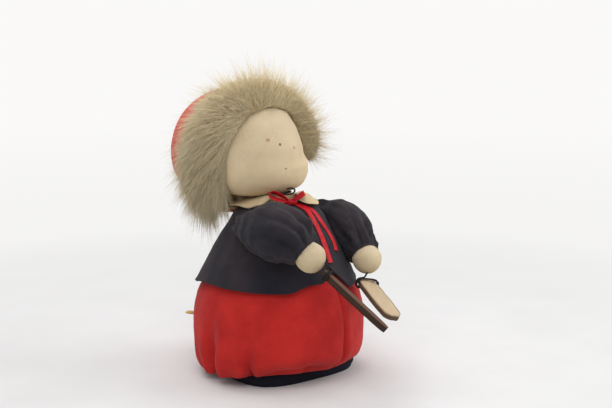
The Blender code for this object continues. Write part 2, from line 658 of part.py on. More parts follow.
def make_fur_trim(shop, pivot, fur):
    """Thick roll of fur round the hood's opening, open below the chin, with its lip on the face's edge."""
    steps = 46
    sides = 12
    mesh = bpy.data.meshes.new("fur_trim")
    shape = bmesh.new()
    rings = []
    for i in range(steps + 1):
        angle = -FUR_RIGHT_END_ANGLE + (FUR_LEFT_END_ANGLE + FUR_RIGHT_END_ANGLE) * i / steps
        centre = fur_centre(angle)
        up = math.cos(angle)
        outward = Vector((math.sin(angle), -math.tan(FUR_TILT) * up, up)).normalized()
        left = min(FUR_LEFT_END_ANGLE - angle, FUR_RIGHT_END_ANGLE + angle)
        ending = min(1.0, max(0.0, left) / FUR_END_TAPER_ANGLE)
        taper = 0.35 + 0.65 * math.sqrt(ending)
        ring = []
        for k in range(sides):
            turn = 2.0 * math.pi * k / sides
            tuft = FUR_TUFT_DEPTH * math.sin(9.0 * angle + 3.0 * turn)
            thick = (FUR_HALF_THICKNESS + min(0.0, tuft)) * taper
            length = (FUR_HALF_LENGTH + min(0.0, tuft)) * taper
            lip = FUR_LIP * ending * (0.5 - 0.5 * math.sin(turn)) ** 2
            backward = Vector((0.0, 1.0, 0.0))
            place = centre + outward * (thick * math.cos(turn) - lip) + backward * length * math.sin(turn)
            ring.append(shape.verts.new(place))
        rings.append(ring)
    for ring, after in zip(rings, rings[1:]):
        for k in range(sides):
            shape.faces.new((ring[k], ring[(k + 1) % sides], after[(k + 1) % sides], after[k]))
    shape.faces.new(rings[0])
    shape.faces.new(rings[-1])
    bmesh.ops.recalc_face_normals(shape, faces=shape.faces)
    shape.to_mesh(mesh)
    shape.free()
    mesh.transform(yaw_frame())
    trim = shop.add("fur_trim", mesh, fur, pivot)
    cut(trim, grown_head(shop, "fur_head_cutter"))
    cut(trim, neck_trim(shop, "fur_trim_cutter", SHOULDER_CLEARANCE))
    return trim


def shoulder_place(side):
    """Point on the axis that an arm swings about."""
    return Vector((side * ARM_SPREAD, SHOULDER_Y, SHOULDER_Z))


def arm_frame(side, drop):
    """Places a shape drawn for the level right arm: mirrored for the left, then dropped."""
    mirror = Matrix.Scale(-side, 4, Vector((1.0, 0.0, 0.0)))
    place = Matrix.Translation((0.0, SHOULDER_Y, SHOULDER_Z))
    return place @ Matrix.Rotation(drop, 4, "X") @ mirror @ place.inverted()


def hand_centre():
    """Middle of the level right hand."""
    return Vector((-HAND_LATERAL, SHOULDER_Y - HAND_FORWARD, SHOULDER_Z - HAND_BELOW_SHOULDER))


def sleeve_route():
    """Knots of the level right sleeve's middle line and its radii, from the shoulder to the wrist.

    Each row is the share of the way to the wrist, then the shift aside, the lift and the radius there,
    all three in shares of the sleeve's radius.
    """
    shoulder = shoulder_place(-1.0)
    wrist = hand_centre() + HAND_AXIS_share.normalized() * (HAND_HALF_LENGTH * WRIST_share)
    route_shares = ((0.03, 0.0, -0.10, 0.47), (0.20, -0.08, -0.13, 0.76), (0.43, -0.19, -0.13, 0.95),
                    (0.68, -0.21, 0.01, 1.0), (0.89, -0.13, 0.23, 0.80), (1.0, 0.0, 0.10, 0.36))
    knots = []
    for along, aside, lift, radius in route_shares:
        knots.append(shoulder.lerp(wrist, along) + Vector((aside, 0.0, lift)) * SLEEVE_RADIUS)
    return wrist, knots, [SLEEVE_RADIUS * radius for along, aside, lift, radius in route_shares]


def palm_radius(share):
    """Radius of the hand at a share of its half length from its middle towards the wrist."""
    return HAND_RADIUS * math.sqrt(1.0 - share * share) * (1.0 - HAND_TAPER_share * max(0.0, share) ** 3)


def make_arm(shop, side, drop, pivot, finishes):
    """Puffed sleeve, the hand at its end and the thread that gathers the wrist."""
    cloth, cotton, thread = finishes
    word = "right" if side < 0.0 else "left"
    wrist, knots, radii = sleeve_route()
    points = smooth_route(knots, 13)
    sizes = [size.x for size in smooth_route([Vector((radius, 0.0, 0.0)) for radius in radii], 13)]
    mesh = tube(shop, points, sizes, 4)
    mesh.transform(arm_frame(side, drop))
    flip_inside_out(mesh, side)
    sleeve = shop.add("sleeve_" + word, mesh, cloth, pivot)
    body = torso_cutter(shop, "sleeve_cutter_" + word, JACKET_FOLD_DEPTH + SEAT_GAP, SLEEVE_COLLAR_CLEARANCE)
    cut(sleeve, body)

    hand = hand_centre()
    turned_to_wrist = (wrist - hand).to_track_quat("Z", "Y").to_matrix().to_4x4()
    placed = arm_frame(side, drop) @ Matrix.Translation(hand) @ turned_to_wrist

    def teardrop(place):
        wide = HAND_RADIUS * (1.0 - HAND_TAPER_share * max(0.0, place.z) ** 3)
        return Vector((place.x * wide, place.y * wide, place.z * HAND_HALF_LENGTH))

    def pocket(place):
        wide = HAND_RADIUS + 2.0 * (WRIST_THREAD_RADIUS + SEAT_GAP)
        return Vector((place.x * wide, place.y * wide, place.z * (wide - HAND_RADIUS + HAND_HALF_LENGTH)))

    palm = reshape(ball(22, 14), teardrop)
    palm.transform(placed)
    flip_inside_out(palm, side)
    shop.add("hand_" + word, palm, cotton, pivot)
    room = reshape(ball(22, 14), pocket)
    room.transform(placed)
    flip_inside_out(room, side)
    cut(sleeve, shop.add_cutter("sleeve_end_cutter_" + word, room))
    wrist_world = arm_frame(side, drop) @ wrist
    hand_world = arm_frame(side, drop) @ hand
    away = (wrist_world - hand_world).normalized()
    ring_centre = wrist_world - away * (WRIST_THREAD_RADIUS + SEAT_GAP)
    share = (ring_centre - away * WRIST_THREAD_RADIUS - hand_world).length / HAND_HALF_LENGTH
    steps = 22
    points = ring_points(palm_radius(share) + WRIST_THREAD_RADIUS, steps)
    ring = tube(shop, points, [WRIST_THREAD_RADIUS] * steps, 1, True)
    ring.transform(Matrix.Translation(ring_centre) @ away.to_track_quat("Z", "Y").to_matrix().to_4x4())
    shop.add("wrist_thread_" + word, ring, thread, pivot)
    return hand_world, away


def flip_inside_out(mesh, side):
    """Mirroring turns a mesh inside out, so a mirrored one has its faces turned back."""
    if side > 0.0:
        mesh.flip_normals()


def board_frame(top, along, facing):
    """Places a board drawn with its top at the origin, its length along +Y and its face to +Z."""
    along = along.normalized()
    normal = (facing - along * facing.dot(along)).normalized()
    frame = Matrix((along.cross(normal), along, normal)).transposed().to_4x4()
    frame.translation = top
    return frame


def make_board(shop, name, frame, length, wood, pivot):
    """One wooden board of the pair, widest past its middle, with a softly rounded tip."""
    half = 0.5 * BOARD_WIDTH
    outline_shares = [(BOARD_TOP_WIDTH_share, 0.0), (0.96, 0.14), (1.0, 0.60), (0.92, 0.86)]
    for i in range(1, 6):
        turn = 0.5 * math.pi * i / 6
        outline_shares.append((BOARD_TIP_WIDTH_share * math.cos(turn) + 0.12 * (1.0 - i / 6),
                               0.92 + 0.08 * math.sin(turn)))
    outline = [(wide * half, share * length) for wide, share in outline_shares]
    outline += [(-x, y) for x, y in reversed(outline)]
    curve = bpy.data.curves.new("board", "CURVE")
    curve.dimensions = "2D"
    curve.fill_mode = "BOTH"
    curve.extrude = 0.5 * BOARD_THICKNESS
    spline = curve.splines.new("POLY")
    spline.points.add(len(outline) - 1)
    spline.use_cyclic_u = True
    for place, (x, y) in zip(spline.points, outline):
        place.co = (x, y, 0.0, 1.0)
    mesh = shop.baked(bpy.data.objects.new("board", curve))
    mesh.transform(frame)
    return shop.add(name, mesh, wood, pivot)


def tie_start(frame, hand, towards):
    """Where a board's tie leaves the hand."""
    over = frame @ Vector((0.0, 0.0, BOARD_THICKNESS + 3.0 * TIE_RADIUS))
    outward = (over - hand).normalized()
    lengthwise = outward.dot(towards)
    crosswise = math.sqrt(1.0 - lengthwise ** 2)
    reach = 1.0 / math.hypot(lengthwise / HAND_HALF_LENGTH, crosswise / HAND_RADIUS)
    return hand + outward * (reach + 2.0 * SEAT_GAP)


def even_route(knots, count):
    """Points at even distances along a smooth curve through the knots."""
    fine = smooth_route(knots, 20 * count)
    lengths = [0.0]
    for before, after in zip(fine, fine[1:]):
        lengths.append(lengths[-1] + (after - before).length)
    route = []
    k = 0
    for i in range(count):
        wanted = lengths[-1] * i / (count - 1)
        while lengths[k + 1] < wanted and k < len(fine) - 2:
            k += 1
        route.append(fine[k].lerp(fine[k + 1], (wanted - lengths[k]) / (lengths[k + 1] - lengths[k])))
    return route


def make_tie(shop, name, frame, start, cord, pivot):
    """Cord that comes down from under a hand and goes once round the board's top end."""
    wide = 0.5 * BOARD_WIDTH + TIE_RADIUS + SEAT_GAP
    thick = 0.5 * BOARD_THICKNESS + TIE_RADIUS + SEAT_GAP
    around_shares = [(0.30, 1.25, 0.60), (0.60, 1.12, 0.95), (0.90, 0.80, 1.0), (1.0, 0.0, 1.0),
                     (0.90, -0.80, 1.0), (0.60, -1.10, 1.0), (-0.60, -1.10, 1.0), (-0.90, -0.80, 1.0),
                     (-1.0, 0.0, 1.05), (-0.90, 0.80, 1.1), (-0.60, 1.12, 1.15), (-0.20, 1.15, 1.2)]
    loop = [frame @ Vector((a * wide, c * TIE_FROM_TOP, b * thick)) for a, b, c in around_shares]
    points = even_route([start] + loop, 36)
    return shop.add(name, tube(shop, points, [TIE_RADIUS] * len(points), 1), cord, pivot)


def jacket_point(angle_degrees, share):
    """A point of a ribbon that lies on the jacket's front, and the jacket's outward normal there.

    The angle is from the front's middle, and the share is of the jacket's height.
    """
    height = JACKET_TOP_Z - JACKET_HEM_Z
    z = JACKET_HEM_Z + share * height
    step = 0.01 * height
    slope = (jacket_radius(z - step) - jacket_radius(z + step)) / (2.0 * step)
    angle = math.radians(angle_degrees)
    aside = Vector((math.sin(angle), -math.cos(angle), 0.0))
    normal = (aside + Vector((0.0, 0.0, slope))).normalized()
    fold = JACKET_FOLD_DEPTH * max(0.0, 1.0 - 1.6 * share)
    lift = 1.4 * SEAT_GAP + 0.5 * RIBBON_THICKNESS + fold
    return aside * jacket_radius(z) + Vector((0.0, 0.0, z)) + normal * lift, normal


def bow_place(side_share, up_share):
    """A point in the bow's upright plane, in shares of a loop's length from the knot's middle."""
    turn = Matrix.Rotation(BOW_TURN, 4, "Z")
    reach = NECKBAND_RADIUS + 2.0 * HOOK_WIRE_RADIUS + SEAT_GAP + 0.5 * RIBBON_WIDTH
    z = JACKET_TOP_Z + SEAT_GAP + KNOT_RADIUS
    return turn @ Vector((side_share * BOW_LOOP_LENGTH, -reach, z + up_share * BOW_LOOP_LENGTH))


def make_ribbon(shop, satin):
    """Ribbon bow at the collar's front: a knot, two loops and two long tails."""
    squash = Vector((1.1, 0.85, 0.85))
    knot = reshape(ball(12, 8), lambda place: Vector(a * b * KNOT_RADIUS for a, b in zip(place, squash)))
    knot.transform(Matrix.Translation(bow_place(0.0, 0.0)) @ Matrix.Rotation(BOW_TURN, 4, "Z"))
    shop.add("bow_knot", knot, satin)
    forward = Matrix.Rotation(BOW_TURN, 4, "Z") @ Vector((0.0, -1.0, 0.0))
    start_share = (1.1 * KNOT_RADIUS + SEAT_GAP + 0.5 * RIBBON_THICKNESS) / BOW_LOOP_LENGTH
    height_share = BOW_LOOP_HALF_HEIGHT / BOW_LOOP_LENGTH
    loops = ((-1.0, BOW_RIGHT_RISE, "bow_loop_right"), (1.0, BOW_LEFT_RISE, "bow_loop_left"))
    for side, rise, name in loops:
        points = []
        for i in range(17):
            turn = math.pi * (0.07 + 1.86 * i / 16)
            out = start_share + (1.0 - start_share) * 0.5 * (1.0 - math.cos(turn))
            bulge = height_share * math.sin(turn) * (0.35 + 0.65 * out)
            points.append(bow_place(side * (out * math.cos(rise) - bulge * math.sin(rise)),
                                    out * math.sin(rise) + bulge * math.cos(rise)))
        shop.add(name, strip(shop, points, [forward] * 17, RIBBON_WIDTH, RIBBON_THICKNESS), satin)
    tail_shares = {
        "ribbon_tail_right": ((-14.0, 0.985), (-4.0, 0.968), (-1.0, 0.917), (0.2, 0.843), (3.4, 0.708),
                              (2.3, 0.572), (1.1, 0.446), (0.4, 0.335)),
        "ribbon_tail_left": ((5.0, 0.985), (9.0, 0.955), (10.0, 0.925), (11.5, 0.885), (14.5, 0.789),
                             (18.0, 0.672), (18.0, 0.55), (14.0, 0.438)),
    }
    for name, route_shares in tail_shares.items():
        steps = 20
        places = [jacket_point(*share) for share in route_shares]
        points = smooth_route([place for place, normal in places], steps)
        normals = smooth_route([normal for place, normal in places], steps)
        ups = []
        for i in range(steps):
            ahead = points[min(i + 1, steps - 1)] - points[max(i - 1, 0)]
            ups.append(ahead.cross(normals[i]))
        shop.add(name, strip(shop, points, ups, RIBBON_WIDTH, RIBBON_THICKNESS), satin)


def make_hook(shop, wire):
    """Bent wire hook at the front of the neckband."""
    turn = Matrix.Rotation(BOW_TURN, 4, "Z")
    reach = NECKBAND_RADIUS + HOOK_WIRE_RADIUS
    z = COLLAR_INNER_Z + COLLAR_THICKNESS + NECKBAND_FRONT_RISE
    bend_shares = ((-1.0, -0.5), (-0.6, -0.9), (0.0, -1.0), (0.6, -0.9), (0.97, -0.25), (0.9, 0.6),
                   (0.5, 1.0), (0.0, 0.85))
    knots = []
    for along, up in bend_shares:
        angle = along * HOOK_HALF_LENGTH / reach
        height = z + up * HOOK_HALF_HEIGHT
        knots.append(turn @ Vector((reach * math.sin(angle), -reach * math.cos(angle), height)))
    points = smooth_route(knots, 22)
    shop.add("hook", tube(shop, points, [HOOK_WIRE_RADIUS] * 22, 1), wire)


def make_peg(shop):
    """The hole for, and the shape of, the little peg that stands out of the trousers' back."""
    wall_radius = radius_at(TROUSERS_WALL_SHARES, TROUSERS_RADIUS, 0.0, TROUSERS_TOP_Z, PEG_Z)
    radius = wall_radius + TROUSERS_FOLD_DEPTH
    outward = Vector((math.sin(PEG_ANGLE), -math.cos(PEG_ANGLE), 0.0))
    height = Vector((0.0, 0.0, PEG_Z))
    inner = radius - PEG_IN
    outer = radius + PEG_OUT
    hole = [outward * (inner - SEAT_GAP) + height, outward * (outer + SEAT_GAP) + height]
    peg = [outward * inner + height, outward * outer + height]
    return tube(shop, hole, [PEG_RADIUS + SEAT_GAP] * 2, 2), tube(shop, peg, [PEG_RADIUS] * 2, 2)


def main():
    """Build every piece."""
    shop = Workshop()
    felt = make_material("red_felt", (0.42, 0.03, 0.03), 0.95)
    navy = make_material("navy_cloth", (0.010, 0.010, 0.024), 0.9)
    jacket_cloth = make_material("jacket_cotton", (0.045, 0.040, 0.058), 0.85)
    cotton = make_material("cream_cotton", (0.66, 0.56, 0.42), 0.85)
    wool = make_material("wool_stuffing", (0.75, 0.70, 0.60), 1.0)
    fur = make_material("grey_fur", (0.36, 0.33, 0.27), 0.95)
    satin = make_material("red_satin", (0.55, 0.01, 0.03), 0.35)
    wood = make_material("pale_wood", (0.50, 0.38, 0.25), 0.7)
    dark_wood = make_material("brown_wood", (0.10, 0.055, 0.035), 0.7)
    wire = make_material("black_wire", (0.02, 0.016, 0.014), 0.35, 0.8)
    thread = make_material("cream_thread", (0.55, 0.47, 0.36), 0.9)
    cord = make_material("black_cord", (0.012, 0.010, 0.012), 0.8)
    pink = make_material("pink_thread", (0.62, 0.30, 0.24), 0.9)
    dark = make_material("dark_thread", (0.12, 0.07, 0.05), 0.9)
    cane = make_material("peg_wood", (0.62, 0.42, 0.16), 0.7)

    make_sole(shop, navy)
    trousers, stuffing = make_trousers(shop, felt, wool)
    peg_hole, peg = make_peg(shop)
    hole = shop.add_cutter("peg_hole", peg_hole)
    shop.add("back_peg", peg, cane)
    cut(trousers, hole)
    cut(stuffing, hole)
    make_torso(shop, cotton)
    make_jacket(shop, jacket_cloth)
    make_collar(shop, cotton)
    neck = shop.add_pivot("neck_pivot", Vector((0.0, 0.0, JACKET_TOP_Z)))
    make_head(shop, neck, cotton, thread, pink, dark)
    make_hood(shop, neck, felt)
    make_fur_trim(shop, neck, fur)
    right_hang = Vector((RIGHT_BOARD_INWARD, -RIGHT_BOARD_FORWARD, -RIGHT_BOARD_BELOW))
    left_hang = Vector((-LEFT_BOARD_INWARD, -LEFT_BOARD_FORWARD, -LEFT_BOARD_BELOW))
    right_aim = (RIGHT_BOARD_ALONG_share, RIGHT_BOARD_FACING_share)
    left_aim = (LEFT_BOARD_ALONG_share, LEFT_BOARD_FACING_share)
    boards = {
        "right": (-1.0, ARM_DROP_RIGHT, right_hang, right_aim, RIGHT_BOARD_LENGTH, dark_wood),
        "left": (1.0, ARM_DROP_LEFT, left_hang, left_aim, LEFT_BOARD_LENGTH, wood),
    }
    for word, (side, drop, hang, aim, length, finish) in boards.items():
        shoulder = shop.add_pivot("shoulder_pivot_" + word, shoulder_place(side))
        hand, towards = make_arm(shop, side, drop, shoulder, (jacket_cloth, cotton, thread))
        frame = board_frame(hand + hang, *aim)
        start = tie_start(frame, hand, towards)
        swing = shop.add_pivot("board_pivot_" + word, start)
        make_board(shop, "board_" + word, frame, length, finish, swing)
        make_tie(shop, "board_tie_" + word, frame, start, cord, swing)
    make_ribbon(shop, satin)
    make_hook(shop, wire)


if __name__ == "__main__":
    main()
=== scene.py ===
"""Small stuffed cloth doll in winter dress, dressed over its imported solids.

Metres, +Z up. The doll looks along -Y, its right hand is on -X, and the origin is the middle of the
sole that it stands on. Angles round the doll are measured from its front, positive to its left.
"""
import json
import logging
import math
from contextlib import contextmanager
from dataclasses import dataclass
from enum import Enum
from typing import Callable, Iterator, Sequence

import bmesh
import bpy
import numpy as np
from mathutils import Matrix, Vector, noise
from mathutils.bvhtree import BVHTree


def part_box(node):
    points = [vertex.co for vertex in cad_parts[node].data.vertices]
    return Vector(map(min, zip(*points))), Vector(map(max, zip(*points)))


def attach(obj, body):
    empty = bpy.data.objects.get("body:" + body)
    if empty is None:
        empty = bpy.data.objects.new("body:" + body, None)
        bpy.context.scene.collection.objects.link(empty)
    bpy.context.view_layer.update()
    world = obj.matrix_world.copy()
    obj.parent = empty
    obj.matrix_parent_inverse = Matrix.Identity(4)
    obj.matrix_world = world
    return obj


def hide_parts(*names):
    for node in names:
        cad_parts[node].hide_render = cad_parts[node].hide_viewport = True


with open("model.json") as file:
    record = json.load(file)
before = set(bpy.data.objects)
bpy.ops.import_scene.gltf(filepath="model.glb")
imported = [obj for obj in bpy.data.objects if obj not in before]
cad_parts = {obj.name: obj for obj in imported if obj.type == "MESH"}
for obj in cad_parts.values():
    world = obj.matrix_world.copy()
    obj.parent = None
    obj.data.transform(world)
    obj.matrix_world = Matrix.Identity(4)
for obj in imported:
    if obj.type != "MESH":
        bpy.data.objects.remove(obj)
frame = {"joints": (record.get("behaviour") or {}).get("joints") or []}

MM = 0.001
FULL_TURN = 2.0 * math.pi
SEAT_GAP = 0.3 * MM
IMAGE_WIDTH = 612
IMAGE_HEIGHT = 408
LOG = logging.getLogger("doll")
BACK = np.array([0.0, 1.0, 0.0])
DOWN = np.array([0.0, 0.0, -1.0])

Colour = tuple[float, float, float]
Rule = Callable[[Vector], Vector]


class Side(Enum):
    """A side of the doll: its value is the sign of X there."""

    RIGHT = -1.0
    LEFT = 1.0

    @property
    def word(self) -> str:
        """The side's word in a node's name."""
        return self.name.lower()


class Body(Enum):
    """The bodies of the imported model."""

    TORSO = "torso"
    HEAD = "head"
    ARM_RIGHT = "arm_right"
    ARM_LEFT = "arm_left"
    BOARD_RIGHT = "board_right"
    BOARD_LEFT = "board_left"


# Modelling helpers

def pick(piece: bpy.types.Object) -> None:
    """Make one object the only one selected, and the active one."""
    bpy.ops.object.select_all(action="DESELECT")
    piece.select_set(True)
    bpy.context.view_layer.objects.active = piece


def finish_with(piece: bpy.types.Object, kind: str, **settings: object) -> None:
    """Add a modifier with its settings and apply it.

    Args:
        piece: The object that gets it.
        kind: The modifier's type, such as "SOLIDIFY".
        **settings: The modifier's own values.
    """
    pick(piece)
    modifier = piece.modifiers.new(kind.lower(), kind)
    for key, value in settings.items():
        setattr(modifier, key, value)
    bpy.ops.object.modifier_apply(modifier=modifier.name)


@contextmanager
def editing(piece: bpy.types.Object, select: str = "SELECT") -> Iterator[None]:
    """Edit a piece's mesh with all of its edges selected, or none, and go back to object mode."""
    pick(piece)
    bpy.ops.object.mode_set(mode="EDIT")
    bpy.ops.mesh.select_mode(type="EDGE")
    bpy.ops.mesh.select_all(action=select)
    yield
    bpy.ops.object.mode_set(mode="OBJECT")


def primitive(name: str, add: Callable[..., set[str]], **settings: object) -> bpy.types.Object:
    """Add one of Blender's mesh primitives about the origin, under a name."""
    bpy.ops.object.select_all(action="DESELECT")
    add(**settings)
    piece = bpy.context.active_object
    piece.name = name
    return piece


def tube_grid(name: str, around: int, along: int) -> bpy.types.Object:
    """Add an open cylinder and cut its wall into a grid, to be shaped by a rule.

    Args:
        name: The piece's name.
        around: Faces round the wall.
        along: Faces from one end to the other.

    Returns:
        The piece, with unit radius and length 1 about the origin.
    """
    tube = primitive(name, bpy.ops.mesh.primitive_cylinder_add, vertices=around, radius=1.0, depth=1.0,
                     end_fill_type="NOTHING")
    with editing(tube, "DESELECT"):
        cage = bmesh.from_edit_mesh(tube.data)
        for edge in cage.edges:
            edge.select = abs(edge.verts[0].co.z - edge.verts[1].co.z) > 0.5
        bmesh.update_edit_mesh(tube.data)
        bpy.ops.mesh.subdivide(number_cuts=along - 1)
    return tube


def flat_grid(name: str, across: int, along: int) -> bpy.types.Object:
    """Add a flat square grid of side 1 about the origin, to be shaped by a rule."""
    return primitive(name, bpy.ops.mesh.primitive_grid_add, x_subdivisions=across, y_subdivisions=along,
                     size=1.0)


def ball(name: str, segments: int, rings: int) -> bpy.types.Object:
    """Add a sphere of radius 1 about the origin, to be shaped by a rule."""
    return primitive(name, bpy.ops.mesh.primitive_uv_sphere_add, segments=segments, ring_count=rings,
                     radius=1.0)


def shaped(piece: bpy.types.Object, rule: Rule) -> bpy.types.Object:
    """Move every point of a piece by a rule that takes and gives a place."""
    for vertex in piece.data.vertices:
        vertex.co = rule(vertex.co.copy())
    piece.data.update()
    return piece


def wrapped(piece: bpy.types.Object, place: Callable[[float, float], Vector]) -> bpy.types.Object:
    """Shape a tube grid by a rule of the angle from the front and the share from bottom to top."""
    return shaped(piece, lambda p: place(math.atan2(p.x, -p.y), p.z + 0.5))


def laid(piece: bpy.types.Object, place: Callable[[float, float], Vector]) -> bpy.types.Object:
    """Shape a flat grid by a rule of its shares across and along."""
    return shaped(piece, lambda p: place(p.x + 0.5, p.y + 0.5))


def real_size_uv(piece: bpy.types.Object, across: float, along: float) -> None:
    """Stretch a primitive's UV map so that it counts metres of cloth."""
    layer = piece.data.uv_layers.active
    values = np.empty(len(layer.data) * 2, dtype=np.float32)
    layer.data.foreach_get("uv", values)
    values[0::2] *= across
    values[1::2] *= along
    layer.data.foreach_set("uv", values)


def face_outward(piece: bpy.types.Object) -> None:
    """Turn the piece's faces outward."""
    with editing(piece):
        bpy.ops.mesh.normals_make_consistent(inside=False)


def soften(piece: bpy.types.Object, angle: float = 50.0) -> None:
    """Shade the piece smooth, with edges sharper than the angle in degrees kept."""
    pick(piece)
    bpy.ops.object.shade_smooth_by_angle(angle=math.radians(angle))


def through(knots: Sequence[Vector], count: int) -> list[Vector]:
    """Points at even steps of a smooth curve through the knots.

    Args:
        knots: The points that the curve passes through.
        count: How many points to give.

    Returns:
        The points, from the first knot to the last.
    """
    knots = [Vector(knot) for knot in knots]
    ends = [knots[0] * 2.0 - knots[1]] + knots + [knots[-1] * 2.0 - knots[-2]]
    route = []
    for i in range(count):
        along = i / (count - 1) * (len(knots) - 1)
        k = min(int(along), len(knots) - 2)
        t = along - k
        p0, p1, p2, p3 = ends[k:k + 4]
        route.append(0.5 * ((2.0 * p1) + (p2 - p0) * t + (2.0 * p0 - 5.0 * p1 + 4.0 * p2 - p3) * t * t
                            + (3.0 * p1 - p0 - 3.0 * p2 + p3) * t ** 3))
    return route


def table(pairs: Sequence[tuple[float, float]], at: float, smooth: bool = True) -> float:
    """Read a table of (place, value) pairs, in rising order of place.

    Args:
        pairs: The table.
        at: The place to read it at.
        smooth: Whether the steps between the pairs are smooth, or else straight lines.

    Returns:
        The value there, or the nearest end's value outside the table.
    """
    if at <= pairs[0][0]:
        return pairs[0][1]
    for (x0, y0), (x1, y1) in zip(pairs, pairs[1:]):
        if at <= x1:
            t = (at - x0) / (x1 - x0)
            return y0 + (y1 - y0) * (t * t * (3.0 - 2.0 * t) if smooth else t)
    return pairs[-1][1]


def tables(pairs: Sequence[tuple[float, float]], at: np.ndarray) -> np.ndarray:
    """Read a table at many places at once, with straight lines between its pairs."""
    places, values = zip(*pairs)
    return np.interp(at, places, values)


def unit(value: float) -> float:
    """Keep a value between 0 and 1."""
    return max(0.0, min(1.0, value))


def bump(value: float, middle: float, half_width: float) -> float:
    """A smooth hill of height 1 about a middle."""
    return math.exp(-((value - middle) / half_width) ** 2)


def degrees_past(angle: float, middle: float) -> float:
    """How many degrees an angle in radians lies past a middle in degrees, the shorter way round."""
    return (math.degrees(angle) - middle + 180.0) % 360.0 - 180.0


def around_z(radius: float, angle: float, z: float) -> Vector:
    """A point at a radius, an angle from the front, and a height."""
    return Vector((radius * math.sin(angle), -radius * math.cos(angle), z))


def upright(turn: float) -> Matrix:
    """A turn about the upright axis."""
    return Matrix.Rotation(turn, 3, "Z")


def patchy(place: Vector, size: float) -> float:
    """Even noise between about 0 and 1, whose patches are about a size across."""
    return 0.5 + 0.5 * noise.noise(place / size)


def wire(name: str, points: Sequence[Vector], radius: float, closed: bool = False) -> bpy.types.Object:
    """A round wire or cord along points, made a mesh.

    Args:
        name: The piece's name.
        points: The middle line.
        radius: Half the wire's thickness.
        closed: Whether the line joins its own start.

    Returns:
        The piece.
    """
    curve = bpy.data.curves.new(name, "CURVE")
    curve.dimensions = "3D"
    curve.bevel_depth = radius
    curve.bevel_resolution = 3
    curve.use_fill_caps = not closed
    spline = curve.splines.new("POLY")
    spline.points.add(len(points) - 1)
    spline.use_cyclic_u = closed
    for place, point in zip(spline.points, points):
        place.co = (*point, 1.0)
    piece = bpy.data.objects.new(name, curve)
    bpy.context.scene.collection.objects.link(piece)
    pick(piece)
    bpy.ops.object.convert(target="MESH")
    piece = bpy.context.active_object
    finish_with(piece, "WELD", merge_threshold=0.01 * MM)
    soften(piece)
    return piece


# Finishes

def add_node(tree: bpy.types.NodeTree, kind: str, inputs: dict | None = None,
             **settings: object) -> bpy.types.Node:
    """Add a node to a tree; an input is a value, or the socket that feeds it."""
    node = tree.nodes.new(kind)
    for key, value in settings.items():
        setattr(node, key, value)
    for key, value in (inputs or {}).items():
        if isinstance(value, bpy.types.NodeSocket):
            tree.links.new(value, node.inputs[key])
        else:
            node.inputs[key].default_value = value
    return node


